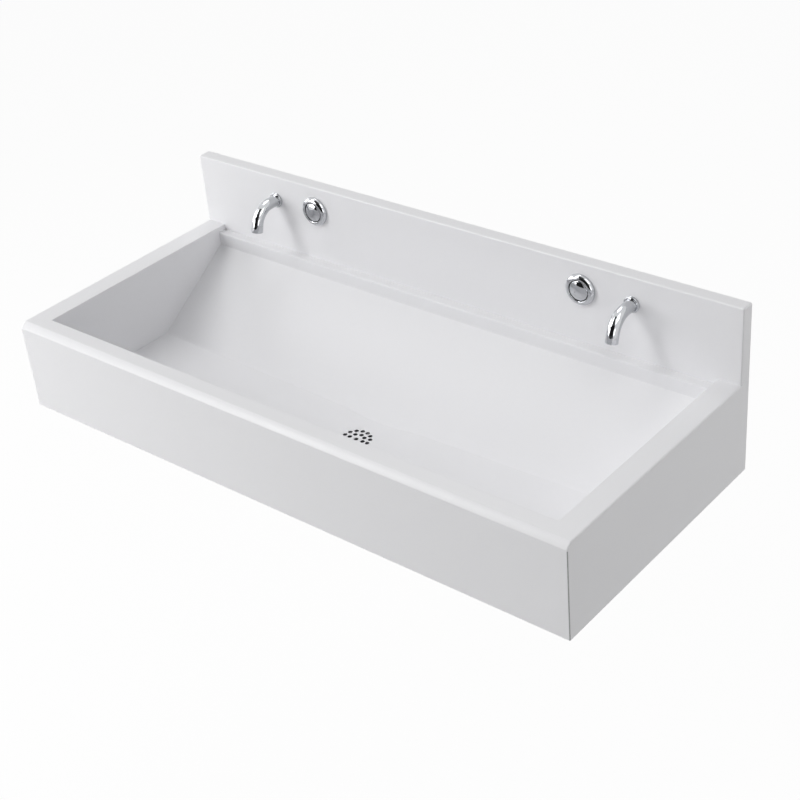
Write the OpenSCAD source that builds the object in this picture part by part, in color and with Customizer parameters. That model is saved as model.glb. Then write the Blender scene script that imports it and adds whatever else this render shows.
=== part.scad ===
// Wall-hung trough sink for two people, built up from glued solid-surface sheet.
// Origin: the wall plane, at the centre of the wall-fixing holes. X runs along the wall, +Y into
// the wall, +Z up. Heights named _h are measured up from the lower edge of the body.

/* [Body] */
// Overall width along the wall
sink_w = 1200; // [1000:10:1800]
// Overall depth from the wall plane to the front face
sink_d = 515; // [490:5:600]
// Height of the body from its lower edge to the rim
body_h = 176; // [165:1:220]
// Thickness of the solid-surface sheet
sheet_t = 12; // [10:0.5:13]
// Width of the rim along the front
rim_front_w = 40; // [34:1:60]
// Width of the rim at each end
rim_side_w = 43; // [34:1:60]
// Height of the chamfer along the front rim
chamfer_h = 10.5; // [4:0.5:11]
// Depth of the chamfer along the front rim
chamfer_d = 12.5; // [4:0.5:20]
// Radius of the eased outer edges
edge_r = 2.5; // [1:0.5:4]

/* [Bowl] */
// Depth of the trough floor, from the inner front wall to the ramp at the ends
floor_d = 256; // [230:1:270]
// Height of the trough floor at its two ends
floor_end_h = 21; // [20:0.5:30]
// Fall of the trough floor from the ends to the drain
floor_fall = 6.5; // [3:0.5:7]
// Depth of the narrow ledge in front of the splashback
ledge_d = 18; // [15:1:30]
// Drop from the rim to the ledge
ledge_drop = 11; // [5:0.5:12]
// Height of the step under the ledge's front edge
riser_h = 26; // [20:1:40]

/* [Splashback] */
// Rise of the splashback above the rim
splash_rise = 140; // [125:1:200]
// Thickness of the backing board behind the splashback's face sheet
core_t = 13; // [10:0.5:20]
// Width of the build-up strips at the splashback's edges
strip_w = 20; // [12:1:30]

/* [Wall rail and ribs] */
// Thickness of the wall rail
rail_t = 18; // [15:1:20]
// Height of the wall rail's lower edge
rail_low_h = 62; // [50:1:75]
// Distance of the outer wall-fixing holes from the ends of the sink
fixing_inset = 120; // [50:5:250]
// Spacing of the two rows of wall-fixing holes
fixing_rise = 50; // [30:1:55]
// Diameter of the wall-fixing holes
fixing_hole = 11; // [9:0.5:13]
// Number of support ribs
rib_n = 4; // [2:1:6]
// Thickness of a support rib
rib_t = 12; // [10:1:20]
// Reach of a support rib under the ramp
rib_run = 140; // [100:5:145]

/* [Drain grid] */
// Distance of the drain's centre from the front face
drain_d = 222; // [205:1:225]
// Diameter of a drain hole
drain_hole = 8; // [5:0.5:8]
// Pitch-circle diameter of the inner ring of drain holes
ring_in_d = 29.2; // [26:0.2:31]
// Number of holes in the inner ring
ring_in_n = 8; // [6:1:8]
// Pitch-circle diameter of the outer ring of drain holes
ring_out_d = 50.8; // [50:0.2:54]
// Number of holes in the outer ring
ring_out_n = 14; // [10:1:15]

/* [Waste] */
// Diameter of the waste cup's flange
flange_d = 96; // [94:1:110]
// Thickness of the waste cup's flange
flange_t = 5; // [3:0.5:8]
// Bore of the waste cup under the grid
cup_bore = 65; // [63:0.5:66]
// Wall of the waste cup
cup_wall = 3; // [2:0.5:3.5]
// Depth of the waste cup
cup_depth = 30; // [20:1:50]
// Depth of the funnel under the cup
funnel_depth = 14; // [10:1:30]
// Diameter of the threaded tail
tail_d = 47.8; // [40:0.1:50]
// Bore of the threaded tail
tail_bore = 40; // [30:0.5:42]
// Length of the threaded tail
tail_l = 32; // [20:1:60]
// Thickness of the waste gasket
gasket_t = 2; // [1:0.5:4]
// Pitch-circle diameter of the waste screws
screw_pcd = 84; // [82:1:86]
// Number of waste screws
screw_n = 4; // [3:1:4]
// Diameter of a waste screw's shank
screw_d = 5; // [4:0.5:5]
// Diameter of a waste screw's head
screw_head_d = 9; // [7:0.5:9.5]
// Height of a waste screw's head
screw_head_h = 3.2; // [2:0.1:5]
// Depth of a waste screw in the trough floor
screw_bite = 8; // [5:0.5:9]

/* [Tap stations] */
// Distance of a spout from the end of the sink
spout_inset = 202; // [120:1:300]
// Distance between a spout and its push button
station_gap = 100; // [84:1:140]
// Height of the spouts and buttons above the rim
station_rise = 91.5; // [80:0.5:95]
// Distance from the splashback's face back to the axis of the link pipe
link_back = 56; // [56:0.5:66]

/* [Spout] */
// Outer diameter of the spout tube
spout_d = 22; // [21.5:0.5:26]
// Wall of the spout tube
spout_wall = 1.5; // [1:0.1:2]
// Thickness of the spout's solid root, between its thread and its tube
spout_root = 4; // [2:0.5:8]
// Straight length of the spout before its bend
spout_reach = 22; // [15:1:60]
// Bend radius of the spout's centre line
bend_r = 38; // [26:1:60]
// Angle through which the spout bends
bend_angle = 76; // [45:1:90]
// Length of the straight outlet insert that shows below the bend
outlet_l = 14; // [10:1:30]
// Length of the outlet insert's spigot in the bend
outlet_spigot = 4; // [3:0.5:5]
// Bore of the outlet insert
outlet_bore = 15; // [13:0.5:16]
// Depth of the outlet insert's drilled disc inside its mouth
outlet_recess = 3; // [1:0.5:5]
// Thickness of the drilled disc
outlet_disc_t = 1; // [0.5:0.5:2]
// Diameter of the jets in the drilled disc
jet_d = 2.6; // [1:0.2:3]
// Pitch-circle diameter of the ring of jets
jet_ring_d = 10; // [8:0.5:11]
// Number of jets in the ring
jet_n = 8; // [6:1:9]
// Diameter of the collar at the splashback
collar_d = 29; // [28:0.5:40]
// Thickness of the collar
collar_t = 5; // [4:0.5:10]
// Thickness of the collar's inner shoulder
collar_lip = 2; // [1:0.5:2.5]

/* [Threads and nuts] */
// Outer diameter of the supply thread
supply_d = 20.95; // [19:0.05:21]
// Bore of the supply thread
supply_bore = 12; // [8:0.5:15]
// Thickness of the rubber washers
washer_t = 1.5; // [1:0.5:3]
// Outer diameter of the spout washer
spout_washer_d = 29; // [26:0.5:32]
// Width across flats of the spout backnut
spout_nut_af = 30; // [27:0.5:32]
// Height of the backnuts
nut_h = 7.5; // [5:0.5:8]
// Length of spout thread that shows between its backnut and the feed elbow
thread_show = 2; // [1:0.5:6]
// Distance of the spout's tail from the elbow's water passage
tail_short = 2; // [0.5:0.5:4]
// Width across flats of the valve locknut
valve_nut_af = 54; // [50:1:60]
// Width across flats of the link nuts
link_nut_af = 24; // [23:0.5:26]
// Length of a link nut
link_nut_l = 14; // [12:1:16]
// Overlap of a link nut on its boss
link_nut_grip = 6; // [4:0.5:8]
// Outer diameter of the link pipe
pipe_d = 15; // [12:0.5:15]
// Wall of the link pipe
pipe_wall = 0.9; // [0.7:0.1:1.5]
// Depth of the link pipe in its sockets
pipe_seat = 12; // [8:0.5:14]
// Outer diameter of the feed elbow
elbow_d = 27; // [26:0.5:32]
// Reach of the feed elbow's boss from the spout axis
elbow_reach = 30; // [28:1:32]
// Diameter of the bosses for the link pipe
boss_d = 20; // [19:0.5:21]
// Diameter of the water passages
passage_d = 9; // [7:0.5:10]

/* [Push valve] */
// Diameter of the valve body where it passes through the splashback
valve_d = 42; // [41:0.5:46]
// Diameter of the valve body behind its locknut
valve_rear_d = 34; // [30:0.5:38]
// Distance that the valve body stands out of the splashback
valve_out = 4; // [2:0.5:5]
// Length of the threaded part behind the splashback
valve_thread_l = 10; // [9.5:0.5:11]
// Length of the valve body behind the link pipe's axis
valve_rear_l = 14; // [12:0.5:20]
// Bore of the button's cup in the valve body
cup_d = 37.4; // [37:0.1:38]
// Clearance between the pressed button and the floor of its cup
press_gap = 3; // [1:0.5:5]
// Thickness of the guide that carries the stem
guide_l = 18; // [12:0.5:22]
// Diameter of the valve chamber
chamber_d = 16; // [15:0.5:20]
// Distance of the resting valve disc from the front of the chamber
disc_rest = 13; // [8:0.5:14]
// Reach of the outlet boss from the valve axis
valve_reach = 32; // [30:1:34]
// Length of the water inlet's thread
inlet_thread_l = 17; // [12:1:40]
// Length of the undercut between the valve body and the inlet's thread
undercut_l = 2; // [1:0.5:5]
// Depth of the undercut
undercut_depth = 1; // [0.5:0.1:1.5]
// Diameter of the end cap's flange
cap_d = 30; // [26:1:34]
// Thickness of the end cap's flange
cap_t = 5; // [3:0.5:8]
// Length of the end cap's spigot in the chamber
cap_spigot = 4; // [2:0.5:6]

/* [Button] */
// Outer diameter of the bezel
bezel_d = 57; // [50:0.5:64]
// Height of the bezel above the splashback
bezel_h = 9; // [8:0.5:12]
// Diameter of the opening in the bezel
bezel_hole = 39; // [38.5:0.1:39.5]
// Height of the bezel's upright outer edge
bezel_edge = 2; // [1:0.5:4]
// Radius of the bezel's rounded lip
bezel_lip = 1.2; // [0.6:0.1:2]
// Diameter of the push button
button_d = 36; // [34:0.1:36.4]
// Height of the push button's rim above the splashback
button_rim = 8.5; // [7:0.5:10]
// Crown of the push button above its rim
button_crown = 2.5; // [1:0.5:4]
// Radius of the push button's eased edge
button_edge = 1.5; // [0.5:0.1:2]
// Thickness of the push button's face at its rim
button_face_t = 2.5; // [2:0.1:4]
// Wall of the push button
button_wall = 2; // [1.5:0.1:2.5]
// Length of the push button's skirt
skirt_l = 11.5; // [8:0.5:12]
// Travel of the push button
travel = 6; // [4:0.5:6]
// Diameter of the boss inside the push button
hub_d = 12; // [11:0.5:14]
// Distance by which the boss is shorter than the skirt
hub_short = 1; // [0:0.5:3]
// Diameter of the valve stem
stem_d = 8; // [6:0.5:9]
// Length of the stem in the button's boss
stem_grip = 6; // [4:0.5:7]
// Diameter of the stem's valve disc
disc_d = 14; // [12:0.5:14.2]
// Thickness of the stem's valve disc
disc_t = 4; // [3:0.5:5]
// Wire diameter of the return spring
wire_d = 1.6; // [1:0.1:1.8]
// Mean diameter of the return spring
coil_d = 24; // [20:0.5:25]
// Number of turns of the return spring
coil_n = 5; // [3:1:5]

/* [Clearances] */
// Radial clearance of a nut on its thread or of a piece in its socket
fit_gap = 0.1; // [0.05:0.05:0.2]
// Radial running clearance of the stem in its guide
run_gap = 0.05; // [0.02:0.01:0.08]
// Radial clearance round a fitting that passes through the splashback
hole_gap = 0.5; // [0.3:0.1:0.8]
// Axial clearance at the bottom of a socket
end_gap = 0.3; // [0.1:0.1:0.5]

/* [Hidden] */
$fn = 48;
splash_t = sheet_t + core_t;

// Heights, measured up from the lower edge and then turned into Z
panel_h = body_h - sheet_t;
ledge_h = body_h - ledge_drop;
tongue_h = ledge_h - sheet_t;
rail_mid_h = (rail_low_h + tongue_h) / 2;
z_low = -rail_mid_h;
z_panel = z_low + panel_h;
z_rim = z_low + body_h;
z_top = z_rim + splash_rise;
z_ledge = z_low + ledge_h;
z_tongue = z_low + tongue_h;
z_rail = z_low + rail_low_h;
z_floor_end = z_low + floor_end_h;
z_floor = z_floor_end - floor_fall;
z_under = z_floor - sheet_t;
z_step = z_ledge - riser_h;
z_station = z_rim + station_rise;

// Places along the wall
x_end = sink_w / 2;
x_panel = x_end - sheet_t;
x_in = x_end - rim_side_w;
spout_x = x_end - spout_inset;
button_x = spout_x - station_gap;
fixing_w = sink_w - 2 * fixing_inset;

// Places from the front to the wall
y_front = -sink_d;
y_in = y_front + rim_front_w;
y_splash = -splash_t;
y_ledge = y_splash - ledge_d;
y_crease = y_in + floor_d;
y_drain = y_front + drain_d;

// The ramp's surface rises in a straight line from the crease to the step
ramp_rise = (z_step - z_floor_end) / (y_ledge - y_crease);
ramp_t = sheet_t * sqrt(1 + ramp_rise * ramp_rise);
function ramp_z(y) = z_floor_end + (y - y_crease) * ramp_rise;
function ramp_y(z) = y_crease + (z - z_floor_end) / ramp_rise;

// Waste, downwards from the underside of the trough floor
pad_x = flange_d / 2 + sheet_t;
z_flange = z_under - gasket_t;
z_flange_low = z_flange - flange_t;
z_cup = z_flange - cup_depth;
z_tail = z_cup - funnel_depth;

// Tap stations, back from the splashback's face
nut_back = splash_t + washer_t;
neck_back = splash_t + valve_thread_l;
elbow_back = nut_back + nut_h + thread_show;
elbow_end = link_back + elbow_d / 2;
tail_back = link_back - passage_d / 2 - tail_short;
valve_back = link_back + valve_rear_l;
inlet_top = valve_rear_d / 2 + undercut_l;
inlet_reach = inlet_top + inlet_thread_l;

// Button and stem, out from the splashback's face
cap_in = button_rim - button_face_t;
skirt_low = button_rim - skirt_l;
cup_floor = travel + press_gap - skirt_low;
chamber_back = cup_floor + guide_l;
hub_low = skirt_low + hub_short;
stem_top = hub_low + stem_grip;
disc_back = chamber_back + disc_rest;
spring_l = cap_in + cup_floor - 2 * end_gap;

porcelain = [0.9, 0.905, 0.91];
board = [0.72, 0.6, 0.44];
chrome = [0.78, 0.79, 0.81];
brass = [0.78, 0.65, 0.36];
rubber = [0.12, 0.12, 0.13];
copper = [0.76, 0.47, 0.32];
grey_plastic = [0.45, 0.47, 0.49];
spring_steel = [0.6, 0.61, 0.62];

// ---- Shared shapes ----

// A profile drawn in X and Z, drawn out from y0 back to y1
module along_y(y0, y1) {
    translate([0, y1, 0])
        rotate([90, 0, 0])
            linear_extrude(y1 - y0)
                children();
}

// A profile drawn in Y and Z, drawn out from x0 to x1
module along_x(x0, x1) {
    translate([x0, 0, 0])
        rotate([90, 0, 90])
            linear_extrude(x1 - x0)
                children();
}

// A block from its lowest to its highest corner
module block(low, high) {
    translate(low)
        cube(high - low);
}

// What easing takes off a corner that points to +X and +Y, with the corner at the origin
module eased_corner() {
    translate([-edge_r, -edge_r])
        difference() {
            square(edge_r + 1);
            circle(edge_r);
        }
}

// A ring about Z
module ring(r_out, r_in, z0, z1) {
    translate([0, 0, z0])
        difference() {
            cylinder(r = r_out, h = z1 - z0);
            translate([0, 0, -1])
                cylinder(r = r_in, h = z1 - z0 + 2);
        }
}

// A rod about Z
module rod(r, z0, z1) {
    translate([0, 0, z0])
        cylinder(r = r, h = z1 - z0);
}

// A hexagon nut about Z, drilled for a thread of the given radius
module hex_nut(across, r_in, z0, z1) {
    translate([0, 0, z0])
        difference() {
            cylinder(r = across / sqrt(3), h = z1 - z0, $fn = 6);
            translate([0, 0, -1])
                cylinder(r = r_in, h = z1 - z0 + 2);
        }
}

// The right-hand station is drawn as it is, the left-hand one is its mirror image
module at_side(side) {
    if (side < 0) {
        mirror([1, 0, 0])
            children();
    } else {
        children();
    }
}

// Station frames: X along the wall, Y up, Z out of the splashback's face
module at_spout(side) {
    at_side(side)
        translate([spout_x, y_splash, z_station])
            rotate([90, 0, 0])
                children();
}

module at_valve(side) {
    at_side(side)
        translate([button_x, y_splash, z_station])
            rotate([90, 0, 0])
                children();
}

// Turns a shape about Z to lie along X at the depth of the link pipe
module along_link() {
    translate([0, 0, -link_back])
        rotate([0, 90, 0])
            children();
}

// The holes in the splashback and its backing board for both stations
module station_holes() {
    for (side = [-1, 1]) {
        at_spout(side)
            rod(supply_d / 2 + hole_gap, -splash_t - 1, 1);
        at_valve(side)
            rod(valve_d / 2 + hole_gap, -splash_t - 1, 1);
    }
}

// ---- Body ----

module front_apron() {
    color(porcelain)
        translate([0, 0, z_low])
            linear_extrude(panel_h)
                polygon([
                    [-x_end, y_front],
                    [x_end, y_front],
                    [x_panel, y_front + sheet_t],
                    [-x_panel, y_front + sheet_t]
                ]);
}

module end_panel(side) {
    color(porcelain)
        at_side(side)
            translate([0, 0, z_low])
                linear_extrude(panel_h)
                    polygon([
                        [x_end, y_front],
                        [x_end, 0],
                        [x_panel, 0],
                        [x_panel, y_front + sheet_t]
                    ]);
}

module front_rim() {
    color(porcelain)
        along_x(-x_end, x_end)
            polygon([
                [y_front, z_panel],
                [y_in, z_panel],
                [y_in, z_rim],
                [y_front + chamfer_d, z_rim],
                [y_front, z_rim - chamfer_h]
            ]);
}

module side_rim(side) {
    color(porcelain)
        at_side(side)
            along_y(y_in, 0)
                difference() {
                    translate([x_in, z_panel])
                        square([rim_side_w, sheet_t]);
                    translate([x_end, z_rim])
                        eased_corner();
                }
}

module bowl_front_wall() {
    color(porcelain)
        block([-x_in, y_in - sheet_t, z_under], [x_in, y_in, z_panel]);
}

module bowl_side_wall(side) {
    color(porcelain)
        at_side(side)
            block([x_in, y_in - sheet_t, z_under], [x_in + sheet_t, y_splash, z_panel]);
}

// The floor falls from both ends to the middle, where its underside is flat for the waste
module trough_floor() {
    color(porcelain)
        difference() {
            along_y(y_in, y_ledge)
                polygon([
                    [-x_in, z_floor_end],
                    [0, z_floor],
                    [x_in, z_floor_end],
                    [x_in, z_floor_end - sheet_t],
                    [pad_x, z_under],
                    [-pad_x, z_under],
                    [-x_in, z_floor_end - sheet_t]
                ]);
            along_x(-x_in - 1, x_in + 1)
                polygon([
                    [ramp_y(z_under - 1), z_under - 1],
                    [ramp_y(z_floor_end + 1), z_floor_end + 1],
                    [y_ledge + 1, z_floor_end + 1],
                    [y_ledge + 1, z_under - 1]
                ]);
            drain_holes();
            screw_places()
                rod(screw_d / 2 + fit_gap, z_under - 1, z_under + screw_bite);
        }
}

module drain_holes() {
    translate([0, y_drain, 0]) {
        rod(drain_hole / 2, z_under - 1, z_floor_end + 1);
        for (i = [0 : ring_in_n - 1]) {
            rotate(i * 360 / ring_in_n)
                translate([ring_in_d / 2, 0, 0])
                    rod(drain_hole / 2, z_under - 1, z_floor_end + 1);
        }
        for (i = [0 : ring_out_n - 1]) {
            rotate(i * 360 / ring_out_n)
                translate([ring_out_d / 2, 0, 0])
                    rod(drain_hole / 2, z_under - 1, z_floor_end + 1);
        }
    }
}

module bowl_ramp() {
    color(porcelain)
        along_x(-x_in, x_in)
            polygon([
                [ramp_y(z_under), z_under],
                [y_ledge, z_step],
                [y_ledge, z_step - ramp_t],
                [ramp_y(z_under + ramp_t), z_under]
            ]);
}

module ledge_riser() {
    color(porcelain)
        block([-x_in, y_ledge, z_step - ramp_t], [x_in, y_ledge + sheet_t, z_tongue]);
}

module rear_ledge() {
    color(porcelain)
        block([-x_in, y_ledge, z_tongue], [x_in, y_splash, z_ledge]);
}

// The splashback stands on the end rims and reaches down behind the ledge between them
module splashback() {
    color(porcelain)
        difference() {
            along_y(y_splash, -core_t)
                polygon([
                    [-x_end, z_top],
                    [x_end, z_top],
                    [x_end, z_rim],
                    [x_in, z_rim],
                    [x_in, z_tongue],
                    [-x_in, z_tongue],
                    [-x_in, z_rim],
                    [-x_end, z_rim]
                ]);
            along_x(-x_end - 1, x_end + 1)
                translate([y_splash, z_top])
                    mirror([1, 0])
                        eased_corner();
            station_holes();
        }
}

module splashback_core() {
    color(board)
        difference() {
            along_y(-core_t, 0)
                polygon([
                    [-x_end + strip_w, z_top - strip_w],
                    [x_end - strip_w, z_top - strip_w],
                    [x_end - strip_w, z_rim],
                    [x_in, z_rim],
                    [x_in, z_tongue],
                    [-x_in, z_tongue],
                    [-x_in, z_rim],
                    [-x_end + strip_w, z_rim]
                ]);
            station_holes();
        }
}

module splashback_top_strip() {
    color(porcelain)
        block([-x_end, -core_t, z_top - strip_w], [x_end, 0, z_top]);
}

module splashback_side_strip(side) {
    color(porcelain)
        at_side(side)
            block([x_end - strip_w, -core_t, z_rim], [x_end, 0, z_top - strip_w]);
}

module wall_rail() {
    color(board)
        difference() {
            block([-x_panel, -rail_t, z_rail], [x_panel, 0, z_tongue]);
            for (x = [-fixing_w / 2, fixing_w / 2], z = [-fixing_rise / 2, fixing_rise / 2]) {
                translate([x, 1, z])
                    rotate([90, 0, 0])
                        cylinder(d = fixing_hole, h = rail_t + 2);
            }
        }
}

module support_ribs() {
    y_rib = y_ledge - rib_run;
    for (i = [0 : rib_n - 1]) {
        x = (i - (rib_n - 1) / 2) * 2 * x_in / rib_n;
        color(board)
            along_x(x - rib_t / 2, x + rib_t / 2)
                polygon([
                    [y_rib, ramp_z(y_rib) - ramp_t],
                    [y_ledge, z_step - ramp_t],
                    [-rail_t, z_step - ramp_t],
                    [-rail_t, z_rail]
                ]);
    }
}

// ---- Waste ----

module screw_places() {
    translate([0, y_drain, 0])
        for (i = [0 : screw_n - 1]) {
            rotate(180 / screw_n + i * 360 / screw_n)
                translate([screw_pcd / 2, 0, 0])
                    children();
        }
}

module waste_gasket() {
    color(rubber)
        difference() {
            translate([0, y_drain, 0])
                ring(flange_d / 2, cup_bore / 2, z_flange, z_under);
            screw_places()
                rod(screw_d / 2 + fit_gap, z_flange - 1, z_under + 1);
        }
}

module waste_cup() {
    color(grey_plastic)
        difference() {
            translate([0, y_drain, 0]) {
                rod(flange_d / 2, z_flange_low, z_flange);
                rod(cup_bore / 2 + cup_wall, z_cup, z_flange);
                translate([0, 0, z_tail])
                    cylinder(r1 = tail_d / 2, r2 = cup_bore / 2 + cup_wall, h = funnel_depth);
                rod(tail_d / 2, z_tail - tail_l, z_tail);
            }
            translate([0, y_drain, 0]) {
                rod(cup_bore / 2, z_cup, z_flange + 1);
                translate([0, 0, z_tail])
                    cylinder(r1 = tail_bore / 2, r2 = cup_bore / 2, h = funnel_depth);
                rod(tail_bore / 2, z_tail - tail_l - 1, z_tail);
            }
            screw_places()
                rod(screw_d / 2 + fit_gap, z_flange_low - 1, z_flange + 1);
        }
}

module waste_screws() {
    color(spring_steel)
        screw_places() {
            rod(screw_d / 2, z_flange_low - 1, z_under + screw_bite - end_gap);
            rod(screw_head_d / 2, z_flange_low - screw_head_h, z_flange_low);
        }
}

// ---- Spout and its feed ----

// The spout's path as a solid of the given radius: straight out and round the bend
module spout_path(r, first, angle) {
    rod(r, first, spout_reach);
    translate([0, -bend_r, spout_reach])
        rotate([90, 0, 90])
            rotate_extrude(angle = angle)
                translate([bend_r, 0])
                    circle(r);
}

// Places its children at the end of the spout, with Z along the water's way
module at_spout_tip() {
    translate([0, -bend_r, spout_reach])
        rotate([bend_angle, 0, 0])
            translate([0, bend_r, 0])
                children();
}

module spout(side) {
    color(chrome)
        at_spout(side)
            difference() {
                union() {
                    spout_path(spout_d / 2, collar_lip, bend_angle);
                    rod(supply_d / 2, -tail_back, collar_lip + 1);
                }
                spout_path(spout_d / 2 - spout_wall, collar_lip + spout_root, bend_angle + 1);
                rod(supply_bore / 2, -tail_back - 1, collar_lip + spout_root + 1);
            }
}

module spout_collar(side) {
    color(chrome)
        at_spout(side)
            difference() {
                rod(collar_d / 2, 0, collar_t);
                rod(supply_d / 2 + fit_gap, -1, collar_t + 1);
                rod(spout_d / 2 + fit_gap, collar_lip, collar_t + 1);
            }
}

// The outlet is bored from above and below, which leaves a drilled disc across it
module spout_outlet(side) {
    // The straight spigot keeps clear of the bend that it sits in
    spigot_r = spout_d / 2 - spout_wall - fit_gap - outlet_spigot * outlet_spigot / (2 * bend_r);
    disc_low = outlet_l - outlet_recess;
    color(chrome)
        at_spout(side)
            at_spout_tip()
                difference() {
                    union() {
                        rod(spout_d / 2, 0, outlet_l);
                        rod(spigot_r, -outlet_spigot, 1);
                    }
                    rod(outlet_bore / 2, -outlet_spigot - 1, disc_low - outlet_disc_t);
                    rod(spout_d / 2 - spout_wall, disc_low, outlet_l + 1);
                    rod(jet_d / 2, 0, outlet_l);
                    for (i = [0 : jet_n - 1]) {
                        rotate(i * 360 / jet_n)
                            translate([jet_ring_d / 2, 0, 0])
                                rod(jet_d / 2, 0, outlet_l);
                    }
                }
}

module spout_washer(side) {
    color(rubber)
        at_spout(side)
            ring(spout_washer_d / 2, supply_d / 2 + fit_gap, -nut_back, -splash_t);
}

module spout_backnut(side) {
    color(brass)
        at_spout(side)
            hex_nut(spout_nut_af, supply_d / 2 + fit_gap, -nut_back - nut_h, -nut_back);
}

// The elbow screws onto the spout's tail and turns the water's way towards the valve
module feed_elbow(side) {
    color(brass)
        at_spout(side)
            difference() {
                union() {
                    rod(elbow_d / 2, -elbow_end, -elbow_back);
                    along_link()
                        rod(boss_d / 2, -elbow_reach, 0);
                }
                rod(supply_d / 2 + fit_gap, -tail_back - end_gap, -elbow_back + 1);
                rod(passage_d / 2, -link_back, -tail_back);
                along_link() {
                    rod(passage_d / 2, -elbow_reach, 0);
                    rod(pipe_d / 2 + fit_gap, -elbow_reach - 1, -elbow_reach + pipe_seat);
                }
            }
}

module link_pipe(side) {
    color(copper)
        at_side(side)
            translate([0, y_splash, z_station])
                rotate([90, 0, 0])
                    along_link()
                        ring(
                            pipe_d / 2,
                            pipe_d / 2 - pipe_wall,
                            button_x + valve_reach - pipe_seat + end_gap,
                            spout_x - elbow_reach + pipe_seat - end_gap
                        );
}

// One nut on the valve's boss and one on the elbow's, each gripping the pipe
module link_nut() {
    difference() {
        hex_nut(link_nut_af, pipe_d / 2 + fit_gap, -link_nut_grip, link_nut_l - link_nut_grip);
        rod(boss_d / 2 + fit_gap, -link_nut_grip - 1, end_gap);
    }
}

module link_nuts(side) {
    color(brass)
        at_side(side)
            translate([0, y_splash, z_station])
                rotate([90, 0, 0])
                    along_link() {
                        translate([0, 0, button_x + valve_reach])
                            link_nut();
                        translate([0, 0, spout_x - elbow_reach])
                            mirror([0, 0, 1])
                                link_nut();
                    }
}

// ---- Push valve ----

module valve_body(side) {
    color(brass)
        at_valve(side)
            difference() {
                union() {
                    rod(valve_d / 2, -neck_back, valve_out);
                    rod(valve_rear_d / 2, -valve_back, -neck_back + 1);
                    along_link()
                        rod(boss_d / 2, 0, valve_reach);
                    translate([0, 0, -link_back])
                        rotate([90, 0, 0]) {
                            rod(supply_d / 2 - undercut_depth, 0, inlet_reach);
                            rod(supply_d / 2, inlet_top, inlet_reach);
                        }
                }
                rod(cup_d / 2, -cup_floor, valve_out + 1);
                rod(stem_d / 2 + run_gap, -chamber_back - 1, -cup_floor + 1);
                rod(chamber_d / 2, -valve_back - 1, -chamber_back);
                along_link() {
                    rod(passage_d / 2, 0, valve_reach);
                    rod(pipe_d / 2 + fit_gap, valve_reach - pipe_seat, valve_reach + 1);
                }
                translate([0, 0, -link_back])
                    rotate([90, 0, 0])
                        rod(supply_bore / 2, 0, inlet_reach + 1);
            }
}

module valve_end_cap(side) {
    color(brass)
        at_valve(side) {
            rod(cap_d / 2, -valve_back - cap_t, -valve_back);
            rod(chamber_d / 2 - fit_gap, -valve_back - 1, -valve_back + cap_spigot);
        }
}

module valve_washer(side) {
    color(rubber)
        at_valve(side)
            ring(valve_nut_af / 2, valve_d / 2 + fit_gap, -nut_back, -splash_t);
}

module valve_locknut(side) {
    color(brass)
        at_valve(side)
            hex_nut(valve_nut_af, valve_d / 2 + fit_gap, -nut_back - nut_h, -nut_back);
}

// The bezel's section: an upright edge, a quarter-ellipse crown and a rounded lip
module button_bezel(side) {
    r_out = bezel_d / 2;
    r_lip = bezel_hole / 2;
    r_body = valve_d / 2 + fit_gap;
    crown_r = r_out - r_lip - bezel_lip;
    color(chrome)
        at_valve(side)
            rotate_extrude()
                polygon(concat(
                    [[r_body, 0], [r_out, 0]],
                    [for (a = [0 : 15 : 90]) [
                        r_lip + bezel_lip + crown_r * cos(a),
                        bezel_edge + (bezel_h - bezel_edge) * sin(a)
                    ]],
                    [for (a = [0 : 30 : 90]) [
                        r_lip + bezel_lip * (1 - sin(a)),
                        bezel_h - bezel_lip * (1 - cos(a))
                    ]],
                    [[r_lip, valve_out + end_gap], [r_body, valve_out + end_gap]]
                ));
}

// The button is a hollow cap with a crowned face and a boss for the stem
module push_button(side) {
    r = button_d / 2;
    // The crown is a shallow spherical cap that meets the eased edge
    crown_r = ((r - button_edge) * (r - button_edge) + button_crown * button_crown) / (2 * button_crown);
    color(chrome)
        at_valve(side)
            difference() {
                rotate_extrude()
                    polygon(concat(
                        [[0, skirt_low], [r, skirt_low]],
                        [for (a = [0 : 30 : 90]) [
                            r - button_edge + button_edge * cos(a),
                            button_rim - button_edge + button_edge * sin(a)
                        ]],
                        [for (i = [5 : -1 : 0])
                            let (x = (r - button_edge) * i / 6)
                            [x, button_rim + button_crown - crown_r
                                + sqrt(crown_r * crown_r - x * x)]
                        ]
                    ));
                ring(r - button_wall, hub_d / 2, skirt_low - 1, cap_in);
                rod(hub_d / 2 + 1, skirt_low - 1, hub_low);
                rod(stem_d / 2 + fit_gap, hub_low - 1, stem_top + end_gap);
            }
}

module valve_stem(side) {
    color(spring_steel)
        at_valve(side) {
            rod(stem_d / 2, -disc_back, stem_top);
            rod(disc_d / 2, -disc_back - disc_t, -disc_back);
        }
}

// ---- Return spring ----

// Points along the spring's wire, from the cup's floor to the underside of the button
coil_rings = 8;
coil_sides = 6;
coil_steps = coil_n * coil_rings;
coil_rise = spring_l - wire_d;
function coil_point(i) = [
    coil_d / 2 * cos(360 * i / coil_rings),
    coil_d / 2 * sin(360 * i / coil_rings),
    -cup_floor + end_gap + wire_d / 2 + coil_rise * i / coil_steps
];
coil_gap = min([
    for (i = [0 : coil_steps], j = [i + coil_rings / 2 : 1 : coil_steps])
        norm(coil_point(i) - coil_point(j))
]) - wire_d;
echo(coil_gap = coil_gap);

// Corner k of the wire's section at point i, in the plane of the coil's radius and axis
function wire_corner(i, k) =
    let (a = 360 * i / coil_rings, b = 360 * k / coil_sides, p = coil_point(i))
    p + wire_d / 2 * [cos(b) * cos(a), cos(b) * sin(a), sin(b)];

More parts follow.
